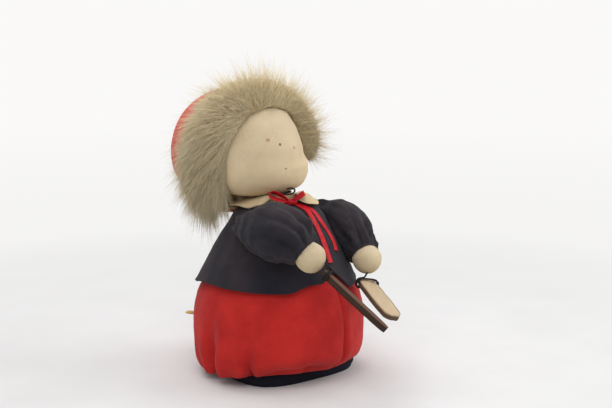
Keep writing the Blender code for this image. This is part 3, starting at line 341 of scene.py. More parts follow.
class Recipe:
    """Builds one Principled material, node by node."""

    def __init__(self, name: str) -> None:
        """Start the material under its name."""
        self.material = bpy.data.materials.new(name)
        self.material.use_nodes = True
        self.tree = self.material.node_tree
        self.shader = self.tree.nodes["Principled BSDF"]

    def add(self, kind: str, inputs: dict | None = None, **settings: object) -> bpy.types.Node:
        """Add a node to the material."""
        return add_node(self.tree, kind, inputs, **settings)

    def feed(self, socket: str, source: bpy.types.NodeSocket) -> None:
        """Feed one of the shader's sockets."""
        self.tree.links.new(source, self.shader.inputs[socket])

    def fixed(self, **values: object) -> None:
        """Set the shader's own sockets, named with underscores for spaces."""
        for key, value in values.items():
            self.shader.inputs[key.replace("_", " ")].default_value = value

    def place(self, kind: str = "Object") -> bpy.types.NodeSocket:
        """The texture coordinates of a kind."""
        return self.add("ShaderNodeTexCoord").outputs[kind]

    def noise(self, where: bpy.types.NodeSocket, size: float, detail: float = 3.0,
              rough: float = 0.55) -> bpy.types.NodeSocket:
        """Cloudy noise whose clouds are about a size across, in metres."""
        inputs = {"Vector": where, "Scale": 1.0 / size, "Detail": detail, "Roughness": rough}
        return self.add("ShaderNodeTexNoise", inputs).outputs["Fac"]

    def remap(self, value: bpy.types.NodeSocket, low: float, high: float, to_low: float = 0.0,
              to_high: float = 1.0) -> bpy.types.NodeSocket:
        """Stretch a value's range to another."""
        inputs = {"Value": value, "From Min": low, "From Max": high, "To Min": to_low, "To Max": to_high}
        return self.add("ShaderNodeMapRange", inputs).outputs["Result"]

    def sum(self, a: object, b: object, operation: str = "ADD") -> bpy.types.NodeSocket:
        """Work on two values."""
        return self.add("ShaderNodeMath", {0: a, 1: b}, operation=operation).outputs[0]

    def mix(self, factor: object, a: object, b: object, blend: str = "MIX") -> bpy.types.NodeSocket:
        """Mix two colours."""
        inputs = {0: factor, 6: a, 7: b}
        return self.add("ShaderNodeMix", inputs, data_type="RGBA", blend_type=blend).outputs[2]

    def attribute(self, name: str) -> bpy.types.NodeSocket:
        """The colour of an attribute that the piece holds."""
        return self.add("ShaderNodeAttribute", attribute_name=name).outputs["Color"]

    def paint(self, colour: bpy.types.NodeSocket, tone: bpy.types.NodeSocket) -> None:
        """Feed the base colour, darker or lighter by a tone about 1."""
        grey = self.add("ShaderNodeCombineColor", {0: tone, 1: tone, 2: tone}).outputs[0]
        self.feed("Base Color", self.mix(1.0, colour, grey, "MULTIPLY"))

    def stripes(self, where: bpy.types.NodeSocket, spacing: float, axis: str,
                **shape: float) -> bpy.types.NodeSocket:
        """Threads side by side along an axis at a spacing, in metres, with the wave's own shape."""
        inputs = {"Vector": where, "Scale": math.pi / (10.0 * spacing)}
        inputs.update({key.replace("_", " "): value for key, value in shape.items()})
        return self.add("ShaderNodeTexWave", inputs, wave_type="BANDS", bands_direction=axis).outputs["Fac"]

    def threads(self, where: bpy.types.NodeSocket, spacing: float) -> bpy.types.NodeSocket:
        """Plain weave: threads both ways at a spacing, in metres."""
        bands = [self.stripes(where, spacing, axis, Distortion=1.2, Detail_Scale=2.0) for axis in ("X", "Y")]
        return self.sum(bands[0], bands[1], "MULTIPLY")

    def relief(self, height: bpy.types.NodeSocket, depth: float, strength: float = 1.0) -> None:
        """Feed the shader's normal from a height."""
        node = self.add("ShaderNodeBump", {"Height": height, "Distance": depth, "Strength": strength})
        self.feed("Normal", node.outputs["Normal"])


def rgba(colour: Colour) -> tuple[float, float, float, float]:
    """A colour with full cover."""
    return (*colour, 1.0)


@dataclass(frozen=True)
class Finish:
    """A finish: its material's name, its slot and its two main colours."""

    name: str
    slot: str
    colour: Colour
    other: Colour

    def material(self) -> bpy.types.Material:
        """Build the material."""
        raise NotImplementedError


@dataclass(frozen=True)
class WovenCloth(Finish):
    """Woven cotton with uneven dye, thread relief and a soft nap."""

    thread: float = 0.42 * MM
    relief: float = 0.10 * MM
    blotch: float = 14.0 * MM
    roughness: float = 0.85
    sheen: float = 0.15
    tinted: bool = False

    def material(self) -> bpy.types.Material:
        """Build the material."""
        recipe = Recipe(self.name)
        body = recipe.place("Object")
        cloudy = recipe.remap(recipe.noise(body, self.blotch, 4.0), 0.36, 0.66)
        colour = recipe.mix(cloudy, rgba(self.colour), rgba(self.other))
        if self.tinted:
            # The tint carries each piece's tone, with painted light and shade on the head, jacket and
            # sleeves.
            colour = recipe.mix(1.0, colour, recipe.attribute("tint"), "MULTIPLY")
        weave = recipe.threads(recipe.place("UV"), self.thread)
        shade = recipe.remap(weave, 0.0, 1.0, 0.90, 1.04)
        lint = recipe.remap(recipe.noise(body, 0.9 * MM, 5.0, 0.7), 0.3, 0.75, 0.93, 1.06)
        recipe.paint(colour, recipe.sum(shade, lint, "MULTIPLY"))
        recipe.feed("Roughness", recipe.remap(cloudy, 0.0, 1.0, self.roughness - 0.05, self.roughness + 0.05))
        wrinkle = recipe.remap(recipe.noise(body, 4.0 * MM, 3.0), 0.0, 1.0, 0.0, 2.5)
        recipe.relief(recipe.sum(weave, wrinkle), self.relief, 0.8)
        recipe.fixed(Sheen_Weight=self.sheen, Sheen_Roughness=0.5, Specular_IOR_Level=0.2)
        return recipe.material


@dataclass(frozen=True)
class Felt(Finish):
    """Thick woollen felt: cloudy colour and a fuzzy, slightly pilled surface."""

    fibre: float = 0.55 * MM
    relief: float = 0.18 * MM
    blotch: float = 17.0 * MM
    sheen: float = 0.25

    def material(self) -> bpy.types.Material:
        """Build the material."""
        recipe = Recipe(self.name)
        body = recipe.place("Object")
        cloudy = recipe.remap(recipe.noise(body, self.blotch, 5.0, 0.6), 0.35, 0.68)
        fuzz = recipe.noise(body, self.fibre, 5.0, 0.7)
        colour = recipe.mix(cloudy, rgba(self.colour), rgba(self.other))
        recipe.paint(colour, recipe.remap(fuzz, 0.3, 0.75, 0.86, 1.12))
        threads = recipe.threads(recipe.place("UV"), 0.7 * MM)
        height = recipe.sum(fuzz, recipe.remap(threads, 0.0, 1.0, 0.0, 0.35))
        recipe.relief(height, self.relief, 0.8)
        recipe.feed("Roughness", recipe.remap(fuzz, 0.0, 1.0, 0.82, 1.0))
        recipe.fixed(Sheen_Weight=self.sheen, Sheen_Roughness=0.45, Specular_IOR_Level=0.15)
        return recipe.material


@dataclass(frozen=True)
class Satin(Finish):
    """Narrow satin ribbon: fine lengthwise threads and a soft gloss."""

    thread: float = 0.22 * MM

    def material(self) -> bpy.types.Material:
        """Build the material."""
        recipe = Recipe(self.name)
        lines = recipe.stripes(recipe.place("UV"), self.thread, "X", Distortion=0.6)
        worn = recipe.remap(recipe.noise(recipe.place("Object"), 3.0 * MM, 4.0), 0.35, 0.7)
        recipe.feed("Base Color", recipe.mix(worn, rgba(self.colour), rgba(self.other)))
        recipe.feed("Roughness", recipe.remap(worn, 0.0, 1.0, 0.44, 0.58))
        recipe.relief(lines, 0.03 * MM, 0.5)
        recipe.fixed(Specular_IOR_Level=0.22, Anisotropic=0.4)
        return recipe.material


@dataclass(frozen=True)
class Wood(Finish):
    """Sawn wood: grain along the piece, saw marks and darker pores."""

    grain: float = 1.1 * MM
    relief: float = 0.12 * MM
    roughness: float = 0.72

    def material(self) -> bpy.types.Material:
        """Build the material; the piece's UV map runs along the grain in V."""
        recipe = Recipe(self.name)
        where = recipe.place("UV")
        stretched = recipe.add("ShaderNodeMapping", {"Vector": where, "Scale": (1.0, 0.09, 1.0)})
        rings = recipe.noise(stretched.outputs[0], self.grain, 6.0, 0.65)
        fibres = recipe.noise(stretched.outputs[0], 0.35 * self.grain, 4.0, 0.7)
        saw = recipe.noise(where, 0.6 * MM, 3.0, 0.7)
        tone = recipe.remap(recipe.sum(rings, fibres), 0.75, 1.25)
        colour = recipe.mix(tone, rgba(self.other), rgba(self.colour))
        # The tint carries dark bark, and painted shade on the brown board.
        recipe.feed("Base Color", recipe.mix(1.0, colour, recipe.attribute("tint"), "MULTIPLY"))
        recipe.feed("Roughness", recipe.remap(tone, 0.0, 1.0, self.roughness + 0.1, self.roughness))
        recipe.relief(recipe.sum(recipe.sum(rings, fibres), saw), self.relief, 0.7)
        recipe.fixed(Specular_IOR_Level=0.3)
        return recipe.material


@dataclass(frozen=True)
class Hair(Finish):
    """Animal hair: dark at the root, then the other colour, then the tip's, and lighter hair by hair."""

    tip: Colour

    def material(self) -> bpy.types.Material:
        """Build the material; the attribute holds the share along a hair and the hair's tone, lighter as
        painted light on hairs rooted high.
        """
        recipe = Recipe(self.name)
        along, own = recipe.add("ShaderNodeSeparateColor", {0: recipe.attribute("hair")}).outputs[:2]
        low = recipe.remap(along, 0.0, 0.4)
        high = recipe.remap(along, 0.55, 1.0)
        colour = recipe.mix(low, rgba(self.colour), rgba(self.other))
        colour = recipe.mix(high, colour, rgba(self.tip))
        # The tone carries painted light on the top hairs.
        recipe.paint(colour, recipe.remap(own, 0.0, 1.0, 0.62, 1.28))
        recipe.feed("Roughness", recipe.remap(own, 0.0, 1.0, 0.5, 0.7))
        recipe.fixed(Specular_IOR_Level=0.3)
        return recipe.material


@dataclass(frozen=True)
class Lacquer(Finish):
    """Black lacquered wire, worn a little to the metal."""

    def material(self) -> bpy.types.Material:
        """Build the material."""
        recipe = Recipe(self.name)
        worn = recipe.remap(recipe.noise(recipe.place("Object"), 0.8 * MM, 5.0, 0.7), 0.58, 0.72)
        recipe.feed("Base Color", recipe.mix(worn, rgba(self.colour), rgba(self.other)))
        recipe.feed("Roughness", recipe.remap(worn, 0.0, 1.0, 0.38, 0.3))
        recipe.relief(worn, 0.02 * MM, 0.5)
        recipe.fixed(Metallic=0.6)
        return recipe.material


@dataclass(frozen=True)
class Finishes:
    """Every finish of the doll, in one place."""

    sole: WovenCloth = WovenCloth("sole_cloth", "navy_cloth", (0.004, 0.004, 0.010), (0.008, 0.008, 0.018),
                                  thread=0.5 * MM, sheen=0.0)
    trousers: Felt = Felt("trouser_felt", "red_felt", (0.37, 0.014, 0.013), (0.51, 0.024, 0.020),
                          blotch=26.0 * MM, sheen=0.06)
    hood: Felt = Felt("hood_felt", "red_felt", (0.48, 0.030, 0.030), (0.62, 0.060, 0.055), sheen=0.06)
    jacket: WovenCloth = WovenCloth("jacket_cloth", "jacket_cotton", (0.011, 0.0105, 0.017),
                                    (0.031, 0.025, 0.030), thread=0.45 * MM, blotch=22.0 * MM, sheen=0.05,
                                    tinted=True)
    cotton: WovenCloth = WovenCloth("cream_cloth", "cream_cotton", (0.60, 0.49, 0.33), (0.66, 0.55, 0.38),
                                    thread=0.38 * MM, sheen=0.05, tinted=True)
    thread: WovenCloth = WovenCloth("cream_thread_finish", "cream_thread", (0.50, 0.41, 0.28),
                                    (0.57, 0.48, 0.34), sheen=0.1)
    pink: WovenCloth = WovenCloth("pink_stitch", "pink_thread", (0.66, 0.40, 0.26), (0.69, 0.45, 0.31))
    dark: WovenCloth = WovenCloth("dark_stitch", "dark_thread", (0.22, 0.16, 0.11), (0.28, 0.21, 0.15))
    cord: WovenCloth = WovenCloth("black_cord_finish", "black_cord", (0.008, 0.007, 0.009),
                                  (0.018, 0.015, 0.017), thread=0.5 * MM, relief=0.2 * MM, sheen=0.05)
    satin: Satin = Satin("red_ribbon", "red_satin", (0.50, 0.004, 0.014), (0.34, 0.002, 0.008))
    pale_wood: Wood = Wood("pale_board", "pale_wood", (0.58, 0.47, 0.32), (0.40, 0.29, 0.18))
    brown_wood: Wood = Wood("brown_board", "brown_wood", (0.130, 0.058, 0.030), (0.052, 0.023, 0.012))
    peg_wood: Wood = Wood("ochre_peg", "peg_wood", (0.66, 0.44, 0.17), (0.46, 0.27, 0.09))
    hair: Hair = Hair("grey_hair", "grey_fur", (0.42, 0.33, 0.18), (0.79, 0.655, 0.405), (0.76, 0.68, 0.50))
    wire: Lacquer = Lacquer("hook_lacquer", "black_wire", (0.012, 0.010, 0.009), (0.10, 0.08, 0.07))


class Wardrobe:
    """Hands out materials, each built once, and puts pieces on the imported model."""

    def __init__(self) -> None:
        """Start with no materials built."""
        self.built: dict[str, bpy.types.Material] = {}
        self.finishes = Finishes()

    def dress(self, piece: bpy.types.Object, finish: Finish, body: Body, *nodes: str) -> bpy.types.Object:
        """Give a piece its finish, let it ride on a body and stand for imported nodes.

        Args:
            piece: The finished piece.
            finish: One of the finishes.
            body: The body that it moves with.
            *nodes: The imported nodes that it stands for.

        Returns:
            The piece.
        """
        if finish.name not in self.built:
            self.built[finish.name] = finish.material()
        piece.data.materials.clear()
        piece.data.materials.append(self.built[finish.name])
        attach(piece, body.value)
        if nodes:
            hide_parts(*nodes)
        LOG.info("%s rides on %s, %d faces", piece.name, body.value, len(piece.data.polygons))
        return piece


def tint(piece: bpy.types.Object, rule: Callable[[Vector], Colour]) -> None:
    """Paint a colour that multiplies the finish, by a rule of the place."""
    layer = piece.data.color_attributes.new("tint", "FLOAT_COLOR", "POINT")
    for value, vertex in zip(layer.data, piece.data.vertices):
        value.color = rgba(rule(vertex.co))


@dataclass
class Studio:
    """Camera, floor and lights."""

    camera_place: Vector = Vector((-532.7, -520.8, 239.1)) * MM
    looks_at: Vector = Vector((25.47, -0.29, 104.54)) * MM
    lens: float = 70.0
    floor_half: float = 3.0
    fade_starts: float = 0.10
    fade_ends: float = 0.48
    lamps_aim: Vector = Vector((0.0, 0.0, 90.0)) * MM
    sky_strength: float = 0.62

    def add_camera(self) -> None:
        """Add the camera at the photograph's viewpoint."""
        data = bpy.data.cameras.new("camera")
        data.lens = self.lens
        data.clip_start = 0.01
        camera = bpy.data.objects.new("camera", data)
        bpy.context.scene.collection.objects.link(camera)
        camera.location = self.camera_place
        camera.rotation_euler = (self.looks_at - self.camera_place).to_track_quat("-Z", "Y").to_euler()
        bpy.context.scene.camera = camera
        bpy.context.view_layer.update()

    def ray(self, x: float, y: float) -> Vector:
        """The direction from the camera through a pixel of the photograph."""
        camera = bpy.context.scene.camera
        focal = self.lens / camera.data.sensor_width * IMAGE_WIDTH
        view = Vector((x - 0.5 * IMAGE_WIDTH, 0.5 * IMAGE_HEIGHT - y, -focal))
        return (camera.matrix_world.to_3x3() @ view).normalized()

    def add_floor(self) -> None:
        """Add the pale floor, which fades into the white backdrop far from the doll; as the camera sees it,
        its glow is painted shade, darker near the doll.
        """
        floor = primitive("floor", bpy.ops.mesh.primitive_plane_add, size=2.0 * self.floor_half)
        recipe = Recipe("pale_floor")
        where = recipe.place("Object")
        cloudy = recipe.remap(recipe.noise(where, 60.0 * MM, 3.0), 0.3, 0.7)
        recipe.feed("Base Color", recipe.mix(cloudy, (0.67, 0.668, 0.668, 1.0), (0.71, 0.710, 0.710, 1.0)))
        recipe.fixed(Roughness=0.9, Specular_IOR_Level=0.1)
        away = recipe.add("ShaderNodeVectorMath", {0: where}, operation="LENGTH").outputs["Value"]
        # Painted shade: the camera-seen glow is darker near the doll and brightens outward.
        painted_shade_near_doll = recipe.remap(away, self.fade_starts, self.fade_ends, 0.72, 0.905)
        far_tone = recipe.remap(away, self.fade_ends, 3.0 * self.fade_ends, 0.0, 0.050)
        tone = recipe.sum(painted_shade_near_doll, far_tone)
        glow = recipe.add("ShaderNodeEmission", {"Color": (1.0, 0.992, 0.986, 1.0), "Strength": tone})
        fade = recipe.remap(away, self.fade_starts, self.fade_ends)
        path = recipe.add("ShaderNodeLightPath").outputs
        seen = recipe.sum(path["Is Camera Ray"], path["Is Glossy Ray"], "MAXIMUM")
        share = recipe.sum(seen, fade, "MULTIPLY")
        mixed = recipe.add("ShaderNodeMixShader", {0: share, 1: recipe.shader.outputs[0], 2: glow.outputs[0]})
        output = recipe.tree.nodes["Material Output"]
        recipe.tree.links.new(mixed.outputs[0], output.inputs["Surface"])
        floor.data.materials.append(recipe.material)

    def add_lights(self) -> None:
        """Add the soft lamps and the even world light."""
        lamps = (
            ("key", Vector((-0.75, -0.55, 1.10)), 1.0, 6.2),
            ("fill", Vector((0.80, -0.85, 0.70)), 1.0, 7.4),
            ("top", Vector((0.10, 0.45, 1.30)), 1.1, 7.6),
        )
        for name, place, size, power in lamps:
            data = bpy.data.lights.new(name, "AREA")
            data.energy = power
            data.shape = "DISK"
            data.size = size
            lamp = bpy.data.objects.new(name, data)
            bpy.context.scene.collection.objects.link(lamp)
            lamp.location = place
            lamp.rotation_euler = (self.lamps_aim - place).to_track_quat("-Z", "Y").to_euler()
        world = bpy.context.scene.world or bpy.data.worlds.new("world")
        bpy.context.scene.world = world
        world.use_nodes = True
        tree = world.node_tree
        tree.nodes.clear()
        light = add_node(tree, "ShaderNodeBackground",
                         {"Color": (1.0, 0.995, 0.99, 1.0), "Strength": self.sky_strength})
        backdrop = add_node(tree, "ShaderNodeBackground", {"Color": (0.955, 0.947, 0.941, 1.0)})
        path = add_node(tree, "ShaderNodeLightPath").outputs
        seen = add_node(tree, "ShaderNodeMath", {0: path["Is Camera Ray"], 1: path["Is Glossy Ray"]},
                        operation="MAXIMUM")
        mixed = add_node(tree, "ShaderNodeMixShader",
                         {0: seen.outputs[0], 1: light.outputs[0], 2: backdrop.outputs[0]})
        add_node(tree, "ShaderNodeOutputWorld", {"Surface": mixed.outputs[0]})
        bpy.context.scene.view_settings.view_transform = "Standard"


@dataclass
class Trousers:
    """Red felt balloon with its gathers and its front seam."""

    top_z: float = 66.0 * MM
    felt: float = 1.3 * MM
    rim_z: float = 3.6 * MM
    rim_fade: float = 17.0 * MM
    inner_radius: float = 43.0 * MM
    wall_step: float = 5.0 * MM
    seam_angle: float = 2.5
    seam_depth: float = 1.5 * MM
    seam_swell: float = 0.9 * MM
    stitch_radius: float = 0.22 * MM
    profile: tuple = ((28.0, 75.5), (36.0, 73.0), (42.0, 69.2), (45.6, 64.5), (48.4, 59.0), (51.3, 54.0),
                      (53.6, 45.5), (54.8, 35.6), (55.0, 25.0), (54.3, 17.0), (52.6, 10.0), (50.4, 5.6),
                      (48.4, 3.6), (45.8, 5.0), (43.6, 8.4), (41.0, 10.8), (30.0, 11.0))
    rim_heights: tuple = ((-180.0, 3.0), (-150.0, 3.2), (-118.0, 4.0), (-98.0, 4.4), (-79.0, 6.5),
                          (-65.0, 8.9), (-56.0, 11.4), (-45.0, 13.3), (-29.0, 14.0), (-24.0, 15.2),
                          (0.0, 11.9),
                          (9.0, 12.2), (22.0, 11.0), (45.0, 8.0), (80.0, 4.5), (120.0, 3.2), (180.0, 3.0))
    pleats: tuple = ((-98.0, 8.0, 5.0, 0.66), (-67.0, 6.6, 3.8, 0.46), (-27.0, 1.4, 3.0, 0.24),
                     (-112.0, 1.6, 5.0, 0.30), (-131.0, 2.6, 5.0, 0.42), (-158.0, 3.2, 5.5, 0.36),
                     (172.0, 2.0, 4.5, 0.30), (146.0, 3.4, 5.0, 0.44), (117.0, 2.8, 4.5, 0.34),
                     (90.0, 3.4, 5.0, 0.46), (58.0, 2.6, 4.5, 0.36), (31.0, 1.8, 4.0, 0.26))

    def place(self, angle: float, share: float) -> Vector:
        """A point of the felt at an angle, and a share from its lower inner edge to the waist."""
        knots = self.route
        at = (1.0 - share) * (len(knots) - 1)
        k = min(int(at), len(knots) - 2)
        radius, z, _ = knots[k].lerp(knots[k + 1], at - k)
        low = unit(1.0 - (z - self.rim_z) / self.rim_fade)
        outer = unit((radius - self.inner_radius) / self.wall_step)
        z += (table(self.rim_heights, math.degrees(angle)) * MM - self.rim_z) * low * outer
        height = z / self.top_z
        for middle, depth, width, reach in self.pleats:
            rise = max(0.0, 1.0 - max(0.0, height - 0.10) / reach)
            drift = 7.0 * (height - 0.1)
            gap = degrees_past(angle, middle + drift)
            fade = outer * rise ** 1.5
            radius -= depth * MM * fade * bump(gap, 0.0, width * (0.55 + 0.9 * height))
            radius += 0.42 * depth * MM * fade * bump(gap, 1.9 * width, 1.3 * width)
            radius += 0.30 * depth * MM * fade * bump(gap, -1.9 * width, 1.2 * width)
        seam = degrees_past(angle, self.seam_angle)
        radius -= self.seam_depth * bump(seam, 0.0, 1.1) * outer
        radius += self.seam_swell * bump(seam, 4.5, 3.2) * outer * bump(height, 0.45, 0.5)
        where = Vector((math.sin(angle), math.cos(angle), height * 1.3))
        radius += 0.55 * MM * outer * noise.noise(where * 3.1) + 0.25 * MM * outer * noise.noise(where * 9.0)
        return around_z(radius, angle, z)

    def build(self, wardrobe: Wardrobe) -> None:
        """Build the felt, and put it on the torso's body."""
        self.route = through([Vector((r, z, 0.0)) * MM for r, z in self.profile], 160)
        felt = wrapped(tube_grid("trouser_felt_shell", 260, 120), self.place)
        real_size_uv(felt, FULL_TURN * 52.0 * MM, 190.0 * MM)
        finish_with(felt, "SOLIDIFY", thickness=self.felt, offset=-1.0)
        soften(felt)
        wardrobe.dress(felt, wardrobe.finishes.trousers, Body.TORSO, "trousers", "trousers_stuffing")
        self.build_seam_stitches(wardrobe)

    def build_seam_stitches(self, wardrobe: Wardrobe) -> None:
        """Overcast stitches down the front seam, in the felt's own colour."""
        angle = math.radians(self.seam_angle)
        points = [self.place(angle, 0.42 + 0.5 * i / 60) for i in range(61)]
        points = [p + Vector((0.25 * MM * (-1) ** i, -0.15 * MM, 0.0)) for i, p in enumerate(points)]
        seam = wire("front_seam_stitches", points, self.stitch_radius)
        wardrobe.dress(seam, wardrobe.finishes.trousers, Body.TORSO)


@dataclass
class Sole:
    """Navy cloth sole, soft at its edges, with a seam round its side."""

    half_width: float = 43.0 * MM
    half_depth: float = 34.0 * MM
    height: float = 10.0 * MM
    squareness: float = 3.4
    flat_share: float = 0.3
    flat_reach: float = 0.955
    groove: float = 0.010
    turn: float = math.radians(-8.0)
    shift: Vector = Vector((3.0, -2.0, 0.0)) * MM

    def place(self, angle: float, share: float) -> Vector:
        """A point of the sole's skin at an angle, and a share from its underside's middle to its top."""
        power = 2.0 / self.squareness
        x = math.copysign(abs(math.sin(angle)) ** power, math.sin(angle)) * self.half_width
        y = -math.copysign(abs(math.cos(angle)) ** power, math.cos(angle)) * self.half_depth
        if share < self.flat_share:
            out, z = share / self.flat_share * self.flat_reach, 0.0
        elif share < 1.0 - self.flat_share:
            up = (share - self.flat_share) / (1.0 - 2.0 * self.flat_share)
            out = self.flat_reach + (1.0 - self.flat_reach) * math.sin(math.pi * up)
            out -= self.groove * bump(up, 0.22, 0.07)
            z = self.height * up
        else:
            out, z = (1.0 - share) / self.flat_share * self.flat_reach, self.height
        wobble = 0.25 * MM * noise.noise(Vector((x, y, z)) / (9.0 * MM))
        flat = upright(self.turn) @ Vector((x * out, y * out, 0.0))
        return flat + self.shift + Vector((0.0, 0.0, z + wobble * min(1.0, z / (2.0 * MM))))

    def build(self, wardrobe: Wardrobe) -> None:
        """Build the sole and put it on the torso's body."""
        skin = wrapped(tube_grid("sole_skin", 180, 60), self.place)
        real_size_uv(skin, 240.0 * MM, 80.0 * MM)
        finish_with(skin, "WELD", merge_threshold=0.02 * MM)
        face_outward(skin)
        soften(skin)
        wardrobe.dress(skin, wardrobe.finishes.sole, Body.TORSO, "base_sole")


@dataclass
class Peg:
    """Little peeled peg that stands out of the trousers' back."""

    radius: float = 1.1 * MM

    def build(self, wardrobe: Wardrobe) -> None:
        """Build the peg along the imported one's own line."""
        low, high = (Vector(corner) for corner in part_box("back_peg"))
        z = 0.5 * (low.z + high.z)
        edge = 0.7 * self.radius
        inner = Vector((high.x - edge, low.y + edge, z))
        outer = Vector((low.x + edge, high.y - edge, z))
        length = (outer - inner).length
        turn = (outer - inner).to_track_quat("Z", "Y").to_matrix()

        def place(angle: float, share: float) -> Vector:
            """A point of the peg, rounded at its ends and slightly crooked."""
            ending = min(1.0, 6.0 * min(share, 1.0 - share))
            wide = self.radius * math.sqrt(max(0.0, 1.0 - (1.0 - ending) ** 2))
            wide *= 1.0 + 0.07 * math.cos(3.0 * angle + 9.0 * share)
            return inner + turn @ Vector((wide * math.sin(angle), -wide * math.cos(angle), share * length))

        peg = wrapped(tube_grid("back_peg_wood", 24, 40), place)
        real_size_uv(peg, FULL_TURN * self.radius, 2.0 * length)
        finish_with(peg, "WELD", merge_threshold=0.01 * MM)
        face_outward(peg)
        tint(peg, lambda p: (1.0, 1.0, 1.0))
        soften(peg)
        wardrobe.dress(peg, wardrobe.finishes.peg_wood, Body.TORSO, "back_peg")


@dataclass
class Jacket:
    """Flared jacket, closed at the chest, parted below it, with soft folds."""

    top_z: float = 110.5 * MM
    thickness: float = 1.0 * MM
    apex_z: float = 75.5 * MM
    fold_z: float = 58.0 * MM
    fold_reach: float = 30.0 * MM
    crease_depth: float = 1.1 * MM
    left_corner: float = 12.3
    right_corner: float = 349.0
    wall: tuple = ((58.0, 53.4), (60.0, 52.7), (61.0, 51.9), (71.0, 46.8), (81.0, 41.5), (91.0, 35.5),
                   (97.0, 31.5), (102.0, 29.0), (106.5, 25.0), (109.5, 18.0), (110.5, 12.8))
    hem_heights: tuple = ((-180.0, 59.4), (-125.0, 60.2), (-110.0, 61.8), (-98.0, 62.3), (-75.0, 62.6),
                          (-50.0, 61.9), (-30.0, 61.8), (-24.0, 62.4), (-18.0, 64.2), (-12.0, 65.8),
                          (0.0, 67.0), (12.3, 60.4), (22.0, 59.4), (180.0, 59.4))
    left_edge: tuple = ((60.0, 12.3), (63.6, 9.2), (66.2, 6.4), (69.2, 3.0), (71.8, 0.2), (75.5, -3.6))
    right_edge: tuple = ((60.0, -14.0), (65.6, -12.0), (70.0, -9.0), (75.5, -3.6))
    folds: tuple = ((-128.0, 1.2, 7.0), (-104.0, -1.0, 8.0), (-78.0, 0.8, 9.0), (-52.0, -0.6, 10.0),
                    (-150.0, -1.0, 8.0), (-172.0, 1.2, 9.0), (158.0, -1.1, 8.0), (133.0, 1.2, 8.0),
                    (108.0, -1.0, 9.0), (82.0, 1.1, 8.0), (42.0, -3.2, 20.0))

    def radius(self, z: float) -> float:
        """The wall's radius at a height, without folds."""
        return table(self.wall, z / MM, smooth=False) * MM

    def surface(self, angle: float, z: float, lift: float = 0.0) -> Vector:
        """A point of the jacket's outside, moved out by a lift."""
        degrees = math.degrees(angle)
        down = max(0.0, 1.0 - (z - self.fold_z) / self.fold_reach)
        radius = self.radius(z)
        for middle, depth, width in self.folds:
            radius += depth * MM * down * bump(degrees_past(angle, middle), 0.0, width)
        where = Vector((math.sin(angle), math.cos(angle), z / (40.0 * MM)))
        radius += 0.5 * MM * noise.noise(where * 2.3) * min(1.0, (self.top_z - z) / (20.0 * MM))
        radius += 0.16 * MM * noise.noise(where * 8.0)
        crease = bump(degrees, -100.0, 16.0) * bump(z / MM, 88.5 + 0.10 * (degrees + 100.0), 1.5)
        radius -= self.crease_depth * crease
        slope = (self.radius(z - MM) - self.radius(z + MM)) / (2.0 * MM)
        normal = Vector((1.0, slope)).normalized()
        return around_z(radius + lift * normal.x, angle, z + lift * normal.y)

    def place(self, across: float, along: float) -> Vector:
        """A point of the sheet, across from its left front edge round to its right one."""
        nominal = across * 360.0
        if nominal < 180.0:
            nominal = max(nominal, self.left_corner)
        else:
            nominal = min(nominal, self.right_corner) - 360.0
        hem = table(self.hem_heights, nominal) * MM
        steep = along ** 1.15
        z = hem + (self.top_z - 0.2 * MM - hem) * steep
        left = table(self.left_edge, z / MM, smooth=False)
        right = table(self.right_edge, z / MM, smooth=False)
        angle = math.radians(left + across * (360.0 + right - left))
        near_edge = min(across, 1.0 - across) * 360.0
        lift = 0.35 * MM * bump(near_edge, 0.0, 3.0) if z < self.apex_z else 0.0
        return self.surface(angle, z, lift)

    def build(self, wardrobe: Wardrobe) -> None:
        """Build the sheet, close its front seam above the vent and put it on the torso."""
        sheet = laid(flat_grid("jacket_cloth_sheet", 300, 110), self.place)
        real_size_uv(sheet, FULL_TURN * 45.0 * MM, 60.0 * MM)
        finish_with(sheet, "WELD", merge_threshold=0.05 * MM)
        face_outward(sheet)
        finish_with(sheet, "SOLIDIFY", thickness=self.thickness, offset=-1.0)
        tint(sheet, self.tone_and_painted_light)
        soften(sheet)
        wardrobe.dress(sheet, wardrobe.finishes.jacket, Body.TORSO, "jacket", "torso")

    def tone_and_painted_light(self, place: Vector) -> Colour:
        """Faded brown on the doll's right side and back; painted shade makes it blue-black low in front,
        below the right arm.
        """
        degrees = math.degrees(math.atan2(place.x, -place.y))
        faded = bump(degrees, -118.0, 42.0)
        # Painted shade: darker and bluer low in front, below the right arm.
        low = max(0.0, 1.0 - (place.z - self.fold_z) / (26.0 * MM)) * bump(degrees, -45.0, 34.0)
        streak = patchy(Vector((degrees / 7.0, place.z / (24.0 * MM), 1.0)), 1.0)
        warm = faded * (0.55 * patchy(place, 11.0 * MM) + 0.45 * streak)
        return (1.0 + 0.75 * warm - 0.50 * low, 1.0 + 0.32 * warm - 0.42 * low,
                1.0 + 0.22 * warm - 0.25 * low)


